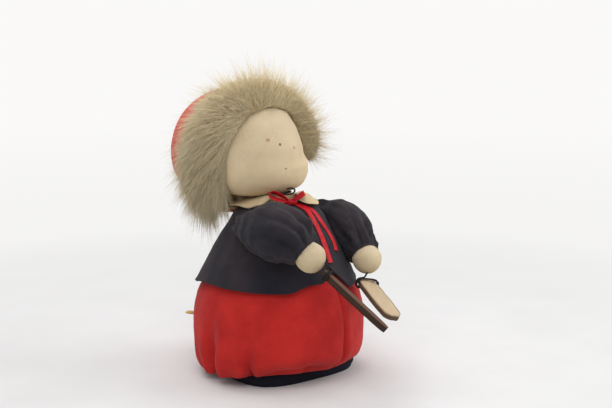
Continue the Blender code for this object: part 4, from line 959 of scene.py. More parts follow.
@dataclass
class Arm:
    """One arm: puffed sleeve, cotton hand and the thread round the wrist."""

    side: Side
    drop: float
    jacket: Jacket
    shoulder_y: float = 2.0 * MM
    shoulder_z: float = 102.0 * MM
    hand: Vector = Vector((-27.0, -52.5, 86.0)) * MM
    hand_axis: Vector = Vector((-0.08, 0.40, 0.91))
    hand_radius: float = 9.0 * MM
    hand_half_length: float = 10.0 * MM
    wrist_share: float = 0.86
    wrist_ring: float = 4.5 * MM
    thread_radius: float = 0.4 * MM
    sewn_below: float = 109.0 * MM
    shift: Vector = Vector((0.0, 0.0, 0.0))
    overhang: float = 3.0 * MM
    creases: tuple = ((12.0, 0.74, 3.4, 8.0), (44.0, 0.78, 2.8, 7.0), (-24.0, 0.78, 2.0, 9.0),
                      (84.0, 0.70, 3.2, 10.0), (-64.0, 0.74, 2.2, 10.0), (150.0, 0.78, 1.6, 10.0))

    @property
    def route(self) -> tuple:
        """Middles of the sleeve from the shoulder to the cuff and its radii there."""
        if self.side is Side.RIGHT:
            return ((-31.5, 0.5, 99.8, 7.0), (-32.2, -7.4, 98.4, 10.8), (-32.8, -17.0, 98.2, 14.6),
                    (-33.0, -27.0, 99.0, 17.2), (-33.0, -35.5, 97.4, 18.2), (-31.2, -41.5, 93.9, 15.6),
                    (-29.4, -45.6, 90.4, 12.0), (-28.1, -48.9, 87.7, 9.6))
        return ((31.8, 0.8, 99.0, 7.4), (32.6, -8.9, 97.0, 10.6), (33.4, -18.0, 94.4, 14.8),
                (34.0, -25.8, 91.3, 16.0), (33.2, -33.0, 87.3, 14.8), (31.2, -39.6, 83.4, 12.6),
                (29.6, -44.2, 80.2, 10.8), (28.5, -47.4, 77.6, 9.4))

    @property
    def body(self) -> Body:
        """The body that the arm rides on."""
        return Body["ARM_" + self.side.name]

    @property
    def frame(self) -> Matrix:
        """Places a shape drawn for the level right arm: mirrored for the left, then dropped."""
        mirror = Matrix.Scale(-self.side.value, 4, Vector((1.0, 0.0, 0.0)))
        place = Matrix.Translation((0.0, self.shoulder_y, self.shoulder_z))
        return place @ Matrix.Rotation(self.drop, 4, "X") @ mirror @ place.inverted()

    @property
    def wrist(self) -> Vector:
        """The right wrist's middle."""
        return self.hand + self.hand_axis.normalized() * self.hand_half_length * self.wrist_share

    def sleeve_point(self, angle: float, share: float) -> Vector:
        """A point of the level right sleeve, from the shoulder at share 0 to the cuff at share 1."""
        knots = self.knots
        at = share * (len(knots) - 1)
        k = min(int(at), len(knots) - 2)
        middle = knots[k].lerp(knots[k + 1], at - k)
        ahead = (knots[min(k + 5, len(knots) - 1)] - knots[max(k - 4, 0)]).normalized()
        across = ahead.cross(Vector((0.0, 0.0, 1.0))).normalized()
        up = across.cross(ahead).normalized()
        radius = table(self.radii, share)
        cuff = bump(share, 1.0, 0.30)
        top = bump(share, 0.0, 0.22)
        where = Vector((math.sin(angle) * 1.3, math.cos(angle) * 1.3, share * 2.0 + self.side.value))
        gather = math.sin(8.0 * angle + 5.0 * noise.noise(where * 1.3)) * min(1.0, 9.0 * (1.02 - share))
        radius += 0.65 * MM * cuff * gather
        radius += self.overhang * max(0.0, math.cos(angle)) ** 2 * bump(share, 0.78, 0.12)
        radius += 0.9 * MM * top * math.sin(7.0 * angle + 2.0)
        radius += 1.5 * MM * noise.noise(where * 1.9) + 0.5 * MM * noise.noise(where * 4.5)
        for middle_angle, place, depth, width in self.creases:
            gap = degrees_past(angle, middle_angle)
            radius -= depth * MM * bump(gap, 0.0, width) * bump(share, place, 0.17)
        return middle + across * radius * math.sin(angle) + up * radius * math.cos(angle)

    def build(self, wardrobe: Wardrobe) -> None:
        """Build the sleeve, hand and wrist thread, and put them on the arm's body."""
        level = self.frame.inverted()
        self.knots = through([level @ (Vector(row[:3]) * MM) for row in self.route], 60)
        self.radii = [(i / (len(self.route) - 1), row[3] * MM) for i, row in enumerate(self.route)]
        sleeve = wrapped(tube_grid("sleeve_cloth_" + self.side.word, 150, 90),
                         lambda angle, share: self.frame @ self.sleeve_point(angle, share))
        self.close_ends(sleeve)
        shaped(sleeve, self.outside_jacket)
        real_size_uv(sleeve, FULL_TURN * 16.0 * MM, 110.0 * MM)
        face_outward(sleeve)
        tint(sleeve, self.tone_and_painted_light)
        soften(sleeve, 60.0)
        wardrobe.dress(sleeve, wardrobe.finishes.jacket, self.body, "sleeve_" + self.side.word)
        self.build_hand(wardrobe)

    def close_ends(self, sleeve: bpy.types.Object) -> None:
        """Close both open ends of the sleeve, which lie in the jacket and round the wrist."""
        with editing(sleeve, "DESELECT"):
            bpy.ops.mesh.select_non_manifold(extend=False, use_wire=False, use_boundary=True,
                                             use_multi_face=False, use_non_contiguous=False, use_verts=False)
            bpy.ops.mesh.fill_holes(sides=0)

    def outside_jacket(self, place: Vector) -> Vector:
        """Keep a point of the sleeve outside the jacket, which it is sewn to."""
        radius = math.hypot(place.x, place.y)
        if place.z > self.sewn_below:
            return place
        angle = math.atan2(place.x, -place.y)
        wall = self.jacket.surface(angle, place.z)
        least = math.hypot(wall.x, wall.y) + 2.0 * SEAT_GAP
        if radius >= least:
            return place
        return Vector((place.x * least / radius, place.y * least / radius, place.z))

    def tone_and_painted_light(self, place: Vector) -> Colour:
        """Painted light: the sleeves are lighter and warmer on top, in uneven patches."""
        warm = patchy(place, 9.0 * MM) * unit((place.z - 92.0 * MM) / (20.0 * MM))
        return (1.0 + 0.55 * warm, 1.0 + 0.35 * warm, 1.0 + 0.25 * warm)

    def build_hand(self, wardrobe: Wardrobe) -> None:
        """Cotton teardrop with a side seam, gathered at the wrist by a thread."""
        towards = (self.wrist - self.hand).normalized()
        turn = towards.to_track_quat("Z", "Y").to_matrix()

        def teardrop(place: Vector) -> Vector:
            """A point of the hand, narrower and gathered towards the wrist."""
            angle = math.atan2(place.y, place.x)
            near = max(0.0, place.z)
            wide = self.hand_radius * (1.04 - 0.36 * near ** 1.6)
            wide *= 1.0 + 0.030 * near ** 2 * math.sin(11.0 * angle)
            seam = 0.018 * bump(math.sin(angle), 0.0, 0.05) * (place.x > 0)
            wide *= 1.0 + 0.02 * noise.noise(place * 1.7) - seam
            local = Vector((place.x * wide, place.y * wide, place.z * self.hand_half_length))
            return self.frame @ (self.hand + turn @ local) + self.shift

        hand = shaped(ball("hand_cotton_" + self.side.word, 96, 64), teardrop)
        real_size_uv(hand, FULL_TURN * self.hand_radius, math.pi * self.hand_radius)
        face_outward(hand)
        centre = self.frame @ self.hand + self.shift
        tint(hand, lambda p: self.hand_wear(p, centre))
        soften(hand)
        wardrobe.dress(hand, wardrobe.finishes.cotton, self.body, "hand_" + self.side.word)
        middle = self.wrist - towards * MM
        points = []
        for i in range(60):
            angle = FULL_TURN * i / 60
            local = Vector((math.cos(angle), math.sin(angle), 0.0)) * self.wrist_ring
            local.z = 0.25 * MM * math.sin(2.0 * angle)
            points.append(self.frame @ (middle + turn @ local) + self.shift)
        thread = wire("wrist_thread_" + self.side.word + "_wound", points, self.thread_radius, True)
        wardrobe.dress(thread, wardrobe.finishes.thread, self.body, "wrist_thread_" + self.side.word)

    def hand_wear(self, place: Vector, centre: Vector) -> Colour:
        """A little darker and browner towards the bottom."""
        low = unit(0.5 - (place.z - centre.z) / (2.0 * self.hand_radius))
        return (1.0 - 0.06 * low, 1.0 - 0.11 * low * (0.6 + 0.4 * patchy(place, 5.0 * MM)), 1.0 - 0.20 * low)


@dataclass
class Head:
    """Cotton head with its small stitched marks."""

    studio: Studio
    centre: Vector = Vector((-1.6, 18.0, 143.0)) * MM
    radius: float = 33.5 * MM
    half_height: float = 30.0 * MM
    fullness: float = 3.2
    yaw: float = math.radians(-14.0)
    roll: float = math.radians(2.0)
    neck_radius: float = 8.5 * MM
    neck_z: float = 109.2 * MM
    neck_height: float = 6.5 * MM
    thread_ring: float = 9.5 * MM
    thread_radius: float = 0.6 * MM
    thread_z: float = 109.9 * MM
    stitch_radius: float = 0.20 * MM
    swell: float = 0.055
    cheek_way: tuple = (0.84, -0.54)
    left_cheek: tuple = ((-1.0, 0.03), (-0.85, 0.05), (-0.60, 0.01), (-0.42, -0.02), (-0.14, -0.115),
                         (0.20, -0.13), (0.53, -0.13), (0.80, -0.07), (1.0, 0.0))
    spots: tuple = (("eye_stitch_right", (268.0, 140.0), 1.3, 0.9, "pink"),
                    ("nose_stitch", (280.0, 144.5), 0.75, 0.7, "dark"),
                    ("eye_stitch_left", (294.0, 147.5), 1.0, 0.7, "pink"),
                    ("mouth_stitch", (286.0, 168.5), 0.55, 0.3, "dark"))

    @property
    def frame(self) -> Matrix:
        """Turns and places a shape drawn about the head's centre."""
        turn = Matrix.Rotation(self.yaw, 4, "Z") @ Matrix.Rotation(-self.roll, 4, "Y")
        return Matrix.Translation(self.centre) @ turn

    def shape(self, place: Vector) -> Vector:
        """A point of the head from a point of the unit sphere."""
        cheeks = 1.0 - self.swell * place.z - 0.5 * self.swell * place.z ** 2
        facing = max(0.0, -place.y)
        cheeks -= 0.030 * facing * bump(place.z, 0.24, 0.18)
        cheeks += 0.014 * facing * bump(place.z, -0.28, 0.28)
        cheeks += 0.006 * noise.noise(place * 2.6)
        across = math.hypot(place.x, place.y)
        if across > 0.0:
            aside = max(0.0, (self.cheek_way[0] * place.x + self.cheek_way[1] * place.y) / across)
            cheeks += table(self.left_cheek, place.z) * aside ** 3
        if place.z < 0.0 < across:
            cheeks *= (1.0 - min(1.0, -place.z) ** self.fullness) ** (1.0 / self.fullness) / across
        reach = cheeks * self.radius
        return self.frame @ Vector((place.x * reach, place.y * reach, place.z * self.half_height))

    def depth(self, points: np.ndarray) -> np.ndarray:
        """How far out points about the head's centre are: 1 on the skin, and less inside."""
        z = points[..., 2] / self.half_height
        cheeks = 1.0 - self.swell * z - 0.5 * self.swell * z ** 2
        flat = np.maximum(np.hypot(points[..., 0], points[..., 1]), 1e-6)
        aside = np.clip(points[..., :2] @ np.array(self.cheek_way) / flat, 0.0, 1.0)
        cheeks = cheeks + tables(self.left_cheek, z) * aside ** 3
        across = flat / (self.radius * np.maximum(cheeks, 0.5))
        round_above = np.hypot(across, z)
        full_below = (across ** self.fullness + np.abs(z) ** self.fullness) ** (1.0 / self.fullness)
        return np.where(z < 0.0, full_below, round_above)

    def build(self, wardrobe: Wardrobe) -> None:
        """Build the head, its neck, the neck's thread and the marks."""
        head = shaped(ball("head_cotton", 180, 120), self.shape)
        real_size_uv(head, FULL_TURN * self.radius, math.pi * self.half_height)
        face_outward(head)
        tint(head, self.tone_and_painted_light)
        soften(head)
        wardrobe.dress(head, wardrobe.finishes.cotton, Body.HEAD, "head")
        self.tree = BVHTree.FromObject(head, bpy.context.evaluated_depsgraph_get())

        def neck_place(angle: float, share: float) -> Vector:
            """A point of the gathered neck."""
            gather = 1.0 + 0.035 * math.sin(14.0 * angle) * (1.0 - share)
            return around_z(self.neck_radius * gather, angle, self.neck_z + self.neck_height * share)

        neck = wrapped(tube_grid("neck_cotton", 84, 12), neck_place)
        tint(neck, lambda p: (0.92, 0.86, 0.76))
        face_outward(neck)
        soften(neck)
        wardrobe.dress(neck, wardrobe.finishes.cotton, Body.HEAD)
        ring = [around_z(self.thread_ring, FULL_TURN * i / 60, self.thread_z) for i in range(60)]
        thread = wire("neck_thread_wound", ring, self.thread_radius, True)
        wardrobe.dress(thread, wardrobe.finishes.thread, Body.HEAD, "neck_thread")
        for spot in self.spots:
            self.build_spot(wardrobe, *spot)

    def surface_at(self, pixel: tuple[float, float]) -> tuple[Vector, Vector]:
        """Where a pixel of the photograph falls on the head, and the normal there."""
        place, normal, _, _ = self.tree.ray_cast(self.studio.camera_place, self.studio.ray(*pixel))
        return place, normal

    def build_spot(self, wardrobe: Wardrobe, name: str, pixel: tuple[float, float], wide: float, tall: float,
                   colour: str) -> None:
        """One mark of the face: a few flat stitches side by side.

        Args:
            wardrobe: Dresses the mark.
            name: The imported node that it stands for.
            pixel: Its place in the photograph.
            wide: Half its width in millimetres.
            tall: Half its height in millimetres.
            colour: The name of its finish.
        """
        place, normal = self.surface_at(pixel)
        across = normal.cross(Vector((0.0, 0.0, 1.0))).normalized() * -1.0
        up = normal.cross(across).normalized()
        up = up if up.z > 0.0 else -up
        points = []
        for i, aside in enumerate((-0.8, -0.4, 0.0, 0.4, 0.8)):
            reach = math.sqrt(1.0 - aside ** 2)
            ends = [place + (across * wide * aside + up * tall * reach * sign) * MM for sign in (1.0, -1.0)]
            if i % 2:
                ends.reverse()
            points += [ends[0], ends[0].lerp(ends[1], 0.5) + normal * 0.12 * MM, ends[1]]
        points = [self.tree.find_nearest(p)[0] + normal * 0.10 * MM for p in points]
        stitch = wire(name + "_thread", points, self.stitch_radius)
        wardrobe.dress(stitch, getattr(wardrobe.finishes, colour), Body.HEAD, name)

    def tone_and_painted_light(self, place: Vector) -> Colour:
        """Paler forehead; painted shade makes the underside, sides and back warmer and darker, with random
        soiled patches, and painted light brightens the lower face and the left side.
        """
        local = (place - self.centre) / self.radius
        low = unit(0.25 - 0.75 * local.z)
        # Painted shade: darker and warmer underside, sides and back, plus random soiled patches.
        soil_and_painted_shade = 0.5 * low + 0.22 * patchy(place, 12.0 * MM) + 0.35 * max(0.0, local.y + 0.2)
        # Painted light: brighter lower face and left side.
        painted_brightening = 1.0 + 0.20 * unit(-1.6 * local.z) + 0.10 * unit(1.5 * local.x)
        return ((1.04 - 0.10 * soil_and_painted_shade) * painted_brightening, (1.03 - 0.19 * soil_and_painted_shade) * painted_brightening,
                (1.02 - 0.34 * soil_and_painted_shade) * painted_brightening)


@dataclass
class Hood:
    """Red felt hood behind the head, and its thin cream lining at the edge."""

    head: Head
    set_back: float = 16.6 * MM
    drop: float = 3.5 * MM
    half_width: float = 47.6 * MM
    half_depth: float = 46.0 * MM
    half_height: float = 44.0 * MM
    felt: float = 1.4 * MM
    tilt: float = math.radians(9.5)
    fur_plane: float = 14.3 * MM
    shoulders: tuple = ((0.0, 113.4), (14.2, 113.4), (32.4, 107.9), (34.0, 98.5), (60.0, 92.0))
    rim_inset: tuple = ((-180.0, 2.4), (-142.0, 2.0), (-100.0, 2.0), (-70.0, 2.2), (-40.0, 2.6), (-20.0, 3.4),
                        (0.0, 4.8), (20.0, 6.2), (40.0, 7.6), (60.0, 7.4), (80.0, 6.2), (106.0, 6.2),
                        (140.0, 4.0), (180.0, 2.4))

    @property
    def frame(self) -> Matrix:
        """Places a shape drawn about the head's centre, turned but not tilted."""
        return Matrix.Translation(self.head.centre) @ Matrix.Rotation(self.head.yaw, 4, "Z")

    def bag(self, place: Vector) -> Vector:
        """A point of the hood from a point of the unit sphere."""
        ripple = 1.0 + 0.008 * noise.noise(place * 2.2) + 0.004 * noise.noise(place * 6.0)
        seam = 1.0 - 0.012 * bump(place.x, 0.0, 0.025) * (1.0 if place.z > -0.6 else 0.0)
        gather = 1.0 + 0.020 * bump(place.z, -0.9, 0.3) * math.sin(15.0 * math.atan2(place.x, place.y))
        size = ripple * seam * gather
        drawn = table(self.rim_inset, math.degrees(math.atan2(place.x, place.z))) * bump(place.y, -0.05, 0.42)
        rim = 1.0 - drawn * MM / self.half_height
        x = place.x * self.half_width * rim
        return Vector((x, place.y * self.half_depth, place.z * self.half_height * rim)) * size

    def build(self, wardrobe: Wardrobe) -> None:
        """Build the felt bag and the cream lining inside it."""
        felt = self.shell("hood_felt_shell", 0.0, self.felt)
        wardrobe.dress(felt, wardrobe.finishes.hood, Body.HEAD, "hood")
        lining = self.shell("hood_cotton_lining", self.felt + 0.15 * MM, 0.5 * MM)
        tint(lining, lambda p: (1.0, 0.93, 0.80))
        wardrobe.dress(lining, wardrobe.finishes.cotton, Body.HEAD)

    def shell(self, name: str, inset: float, thickness: float) -> bpy.types.Object:
        """Make one layer of the bag, cut off at the fur's plane.

        Args:
            name: The piece's name.
            inset: How far the layer lies inside the bag's outside.
            thickness: The layer's thickness.

        Returns:
            The layer.
        """
        share = 1.0 - inset / self.half_height
        hood = shaped(ball(name, 160, 110), lambda p: self.bag(p) * share)
        real_size_uv(hood, FULL_TURN * self.half_width, math.pi * self.half_height)
        with editing(hood):
            bpy.ops.mesh.bisect(plane_co=(0.0, self.fur_plane - self.set_back, 0.0), clear_outer=True,
                                plane_no=(0.0, -math.cos(self.tilt), -math.sin(self.tilt)))
        frame_matrix = self.frame @ Matrix.Translation((0.0, self.set_back, -self.drop))
        shaped(hood, lambda p: self.above_shoulders(frame_matrix @ p, inset))
        face_outward(hood)
        finish_with(hood, "SOLIDIFY", thickness=thickness, offset=-1.0)
        soften(hood)
        return hood

    def above_shoulders(self, place: Vector, lift: float) -> Vector:
        """Rest the hood's underside on the shoulders and the collar, or a layer a little above."""
        floor = table(self.shoulders, math.hypot(place.x, place.y) / MM, smooth=False) * MM + lift
        if place.z < floor:
            place.z = floor + 0.08 * (place.z - floor)
        return place


def column(values: np.ndarray) -> np.ndarray:
    """Keep values between 0 and 1, as a column that scales rows of vectors."""
    return np.clip(values, 0.0, 1.0)[:, None]


def unit_rows(vectors: np.ndarray) -> np.ndarray:
    """Scale each row of vectors to length 1."""
    return vectors / np.maximum(np.linalg.norm(vectors, axis=1, keepdims=True), 1e-12)


@dataclass
class FurTrim:
    """Wide fur edge: a rolled strip of hide, close underfur and long guard hairs."""

    hood: Hood
    set_back: float = 1.0 * MM
    half_width: float = 45.5 * MM
    half_height: float = 44.5 * MM
    right_end: float = 142.0
    left_end: float = 101.0
    core_out: float = 3.4 * MM
    core_back: float = 6.5 * MM
    taper_angle: float = 24.0
    root_turns: tuple = (-172.0, 96.0)
    lit_from: float = 145.0 * MM
    lit_span: float = 35.0 * MM
    inset: tuple = ((-142.0, -0.5), (-100.0, 0.6), (-70.0, 1.4), (-40.0, 2.2), (-20.0, 3.0), (0.0, 4.5),
                    (20.0, 6.0), (40.0, 7.4), (60.0, 7.0), (80.0, 5.6), (106.0, 6.0))
    lip_back: tuple = ((-142.0, -7.0), (-123.0, -11.5), (-101.0, -14.4), (-80.0, -15.5), (-55.0, -17.6),
                       (-25.0, -16.8), (-4.0, -16.0), (17.0, -15.0), (33.0, -12.0), (60.0, -7.0),
                       (116.0, -3.0))
    seed: int = 7

    def ring(self, angle: np.ndarray) -> tuple[np.ndarray, np.ndarray]:
        """Middles of the ring at angles from its top, and the outward directions there."""
        lean = math.tan(self.hood.tilt)
        up = self.half_height * np.cos(angle)
        aside = self.half_width * np.sin(angle)
        middle = np.stack([aside, self.set_back - lean * up, up - self.hood.drop], 1)
        outward = np.stack([np.sin(angle), -lean * np.cos(angle), np.cos(angle)], 1)
        return middle, unit_rows(outward)

    def hide(self, angle: np.ndarray, around: np.ndarray) -> np.ndarray:
        """Places on the hide, whose inner front edge reaches on to the head.

        Args:
            angle: Angles along the ring from its top.
            around: Angles round the roll: 0 faces outward, a right angle faces back.

        Returns:
            The places, in the hood's frame.
        """
        middle, outward = self.ring(angle)
        degrees = np.degrees(angle)
        middle = middle - outward * tables(self.inset, degrees)[:, None] * MM
        ends = column(np.minimum(self.left_end - degrees, degrees + self.right_end) / self.taper_angle)
        taper = np.sqrt(1.0 - (1.0 - ends) ** 2)
        place = middle + outward * (self.core_out * np.cos(around))[:, None] * taper
        place = place + BACK * (self.core_back * np.sin(around))[:, None] * taper
        inner = middle - (outward * self.core_out + BACK * self.core_back) * 0.71 * taper
        weight = np.exp(-((np.degrees(around) + 135.0) / 42.0) ** 2)[:, None]
        return place + (self.lip(angle) - inner) * weight * taper

    def lip(self, angle: np.ndarray) -> np.ndarray:
        """Places where the hide's front edge meets the head, in the hood's frame."""
        y = tables(self.lip_back, np.degrees(angle)) * MM
        low = np.zeros_like(angle)
        high = np.full_like(angle, 60.0 * MM)
        for _ in range(16):
            reach = 0.5 * (low + high)
            place = np.stack([reach * np.sin(angle), y, reach * np.cos(angle)], 1)
            inside = self.hood.head.depth(place) < 1.02
            low = np.where(inside, reach, low)
            high = np.where(inside, high, reach)
        return np.stack([high * np.sin(angle), y, high * np.cos(angle)], 1)

    def build(self, wardrobe: Wardrobe) -> None:
        """Build the hide roll and the hairs, and put them on the head's body."""
        self.build_roll(wardrobe)
        batches = (("fur_under_a", 10500, 3.5, 7.0, 0.36, 3, 0.18, 0.30),
                   ("fur_under_b", 10500, 3.5, 7.5, 0.34, 3, 0.20, 0.30),
                   ("fur_under_c", 10500, 4.0, 8.0, 0.30, 3, 0.22, 0.30),
                   ("fur_coat_a", 7800, 5.0, 14.0, 0.22, 4, 0.24, 0.56),
                   ("fur_coat_b", 7800, 6.0, 16.0, 0.20, 4, 0.26, 0.54),
                   ("fur_guard_a", 2400, 8.0, 20.0, 0.20, 6, 0.12, 0.0),
                   ("fur_guard_b", 2400, 11.0, 24.0, 0.19, 6, 0.12, 0.0))
        for i, (name, count, short, long, thick, steps, stray, close) in enumerate(batches):
            rng = np.random.default_rng(self.seed + i)
            hairs = self.grow(rng, count, (short * MM, long * MM), steps, stray, close)
            piece = self.comb_mesh(name, hairs, thick * MM, rng)
            wardrobe.dress(piece, wardrobe.finishes.hair, Body.HEAD)

    def build_roll(self, wardrobe: Wardrobe) -> None:
        """The hide that the hairs grow from, in the fur's own colour."""
        first = -math.radians(self.right_end)
        spread = math.radians(self.right_end + self.left_end)

        def place(angle: float, share: float) -> Vector:
            """A point of the roll, drawn in at both ends."""
            point = self.hide(np.array([first + spread * share]), np.array([angle]))[0]
            return self.hood.frame @ Vector(point)

        roll = wrapped(tube_grid("fur_hide", 40, 160), place)
        finish_with(roll, "WELD", merge_threshold=0.01 * MM)
        face_outward(roll)
        layer = roll.data.color_attributes.new("hair", "FLOAT_COLOR", "POINT")
        for value, vertex in zip(layer.data, roll.data.vertices):
            value.color = (0.15, 0.5 + 0.4 * noise.noise(vertex.co / (3.0 * MM)), 0.0, 1.0)
        soften(roll)
        wardrobe.dress(roll, wardrobe.finishes.hair, Body.HEAD, "fur_trim")

    def grow(self, rng: np.random.Generator, count: int, lengths: tuple[float, float], steps: int,
             stray: float, close: float) -> np.ndarray:
        """Grow hairs from the hide, combed away from the face and down at the sides, in loose locks.

        Args:
            rng: Seeded random numbers.
            count: How many hairs.
            lengths: The shortest and longest hair.
            steps: Stretches in each hair.
            stray: How far a hair strays from its lock's direction.
            close: How much shorter hairs are on top and on the doll's left.

        Returns:
            The hairs' points, as an array of hair, point and coordinate.
        """
        degrees = rng.uniform(-self.right_end + 1.0, self.left_end - 1.0, count)
        angle = np.radians(degrees)
        turn = rng.uniform(*self.root_turns, count)
        around = np.radians(turn)
        root = self.hide(angle, around)
        ahead = self.hide(angle + 0.01, around) - root
        side = self.hide(angle, around + 0.02) - root
        normal = unit_rows(np.cross(ahead, side))
        _, outward = self.ring(angle)
        middle = 0.5 * (self.hide(angle, np.zeros(count)) + self.hide(angle, np.full(count, math.pi)))
        normal *= np.sign(np.sum(normal * (root - middle), axis=1, keepdims=True) + 1e-12)
        onward = np.stack([np.cos(angle), np.zeros(count), -np.sin(angle)], 1) * np.sign(degrees)[:, None]
        lock = np.round(degrees / 3.4) * 1.7 + np.round(turn / 24.0) * 5.1
        lean = np.stack([np.sin(lock * 1.7), np.sin(lock * 2.9 + 1.0), np.sin(lock * 4.3 + 2.0)], 1)
        front = column((-turn - 20.0) / 70.0)
        lip = column((-turn - 90.0) / 50.0)
        right = column((-degrees - 15.0) / 55.0)
        low = column((np.abs(degrees) - 105.0) / 30.0)
        end = column((-degrees - 124.0) / 14.0)
        way = normal * (0.55 - 0.20 * front - 0.12 * right)
        way = way + outward * (0.35 + 0.45 * front - 0.35 * lip * right)
        way = way + BACK * 0.25 * (1.0 - front) + onward * right * (0.55 + 0.45 * lip)
        way = way + DOWN * 0.5 * low + onward * 0.6 * end
        way = way + (0.16 + 1.4 * max(0.0, 0.24 - stray)) * lean
        way = unit_rows(way + rng.normal(0.0, stray, (count, 3)))
        length = (lengths[0] + (lengths[1] - lengths[0]) * rng.uniform(0.0, 1.0, count) ** 1.8)[:, None]
        length = length * (1.0 - 0.22 * right * (1.0 - low))
        length = length * (1.0 - close * column((degrees + 48.0) / 36.0))
        bend = BACK * 0.35 + onward * 0.35 * right + outward * 0.15 * front
        bend = bend + DOWN * (0.05 + 0.30 * right) + rng.normal(0.0, 0.16, (count, 3))
        points = np.empty((count, steps + 1, 3))
        for k in range(steps + 1):
            t = k / steps
            points[:, k] = root + way * length * t + bend * length * t * t * 0.5
        points = self.off_head(points)
        turned = np.array(self.hood.frame)
        return points @ turned[:3, :3].T + turned[:3, 3]

    def off_head(self, points: np.ndarray) -> np.ndarray:
        """Push hairs, in the hood's frame, out of the head."""
        far = self.hood.head.depth(points)[..., None] / 1.015
        return np.where(far < 1.0, points / np.maximum(far, 1e-6), points)

    def comb_mesh(self, name: str, hairs: np.ndarray, thick: float,
                  rng: np.random.Generator) -> bpy.types.Object:
        """Make three-sided tapering hairs of their middle lines.

        Args:
            name: The piece's name.
            hairs: Points by hair.
            thick: A hair's thickness at its root.
            rng: Seeded random numbers.

        Returns:
            The piece, with the share along each hair and its tone, with painted light on hairs rooted high,
            in an attribute.
        """
        count, points, _ = hairs.shape
        along = unit_rows(hairs[:, -1] - hairs[:, 0])
        aside = unit_rows(np.cross(along, np.array([0.31, 0.11, 0.94])))
        over = np.cross(along, aside)
        t = np.linspace(0.0, 1.0, points)
        half = 0.5 * thick * (1.0 - 0.88 * t ** 1.4)
        rings = np.empty((count, points, 3, 3))
        for k in range(3):
            turn = FULL_TURN * k / 3
            shift = aside * math.cos(turn) + over * math.sin(turn)
            rings[:, :, k] = hairs + shift[:, None, :] * half[None, :, None]
        places = rings.reshape(-1, 3)
        hair = np.arange(count)[:, None, None] * points * 3
        step = np.arange(points - 1)[None, :, None] * 3
        k = np.arange(3)[None, None, :]
        after = (k + 1) % 3
        low = hair + step
        quads = np.stack([low + k, low + after, low + 3 + after, low + 3 + k], -1).reshape(-1, 4)
        mesh = bpy.data.meshes.new(name)
        mesh.vertices.add(len(places))
        mesh.vertices.foreach_set("co", places.astype(np.float32).ravel())
        mesh.loops.add(quads.size)
        mesh.loops.foreach_set("vertex_index", quads.astype(np.int32).ravel())
        mesh.polygons.add(len(quads))
        mesh.polygons.foreach_set("loop_start", np.arange(0, quads.size, 4, dtype=np.int32))
        mesh.update(calc_edges=True)
        mesh.validate()
        layer = mesh.color_attributes.new("hair", "FLOAT_COLOR", "POINT")
        values = np.zeros((count, points, 3, 4), dtype=np.float32)
        values[..., 0] = t[None, :, None]
        # Painted light: hairs rooted high on the ring get a lighter tone.
        lit = np.clip((hairs[:, 0, 2] - self.lit_from) / self.lit_span, 0.0, 1.0)
        values[..., 1] = (0.62 * rng.uniform(0.0, 1.0, count) + 0.34 * lit)[:, None, None]
        values[..., 3] = 1.0
        layer.data.foreach_set("color", values.ravel())
        mesh.shade_smooth()
        piece = bpy.data.objects.new(name, mesh)
        bpy.context.scene.collection.objects.link(piece)
        return piece


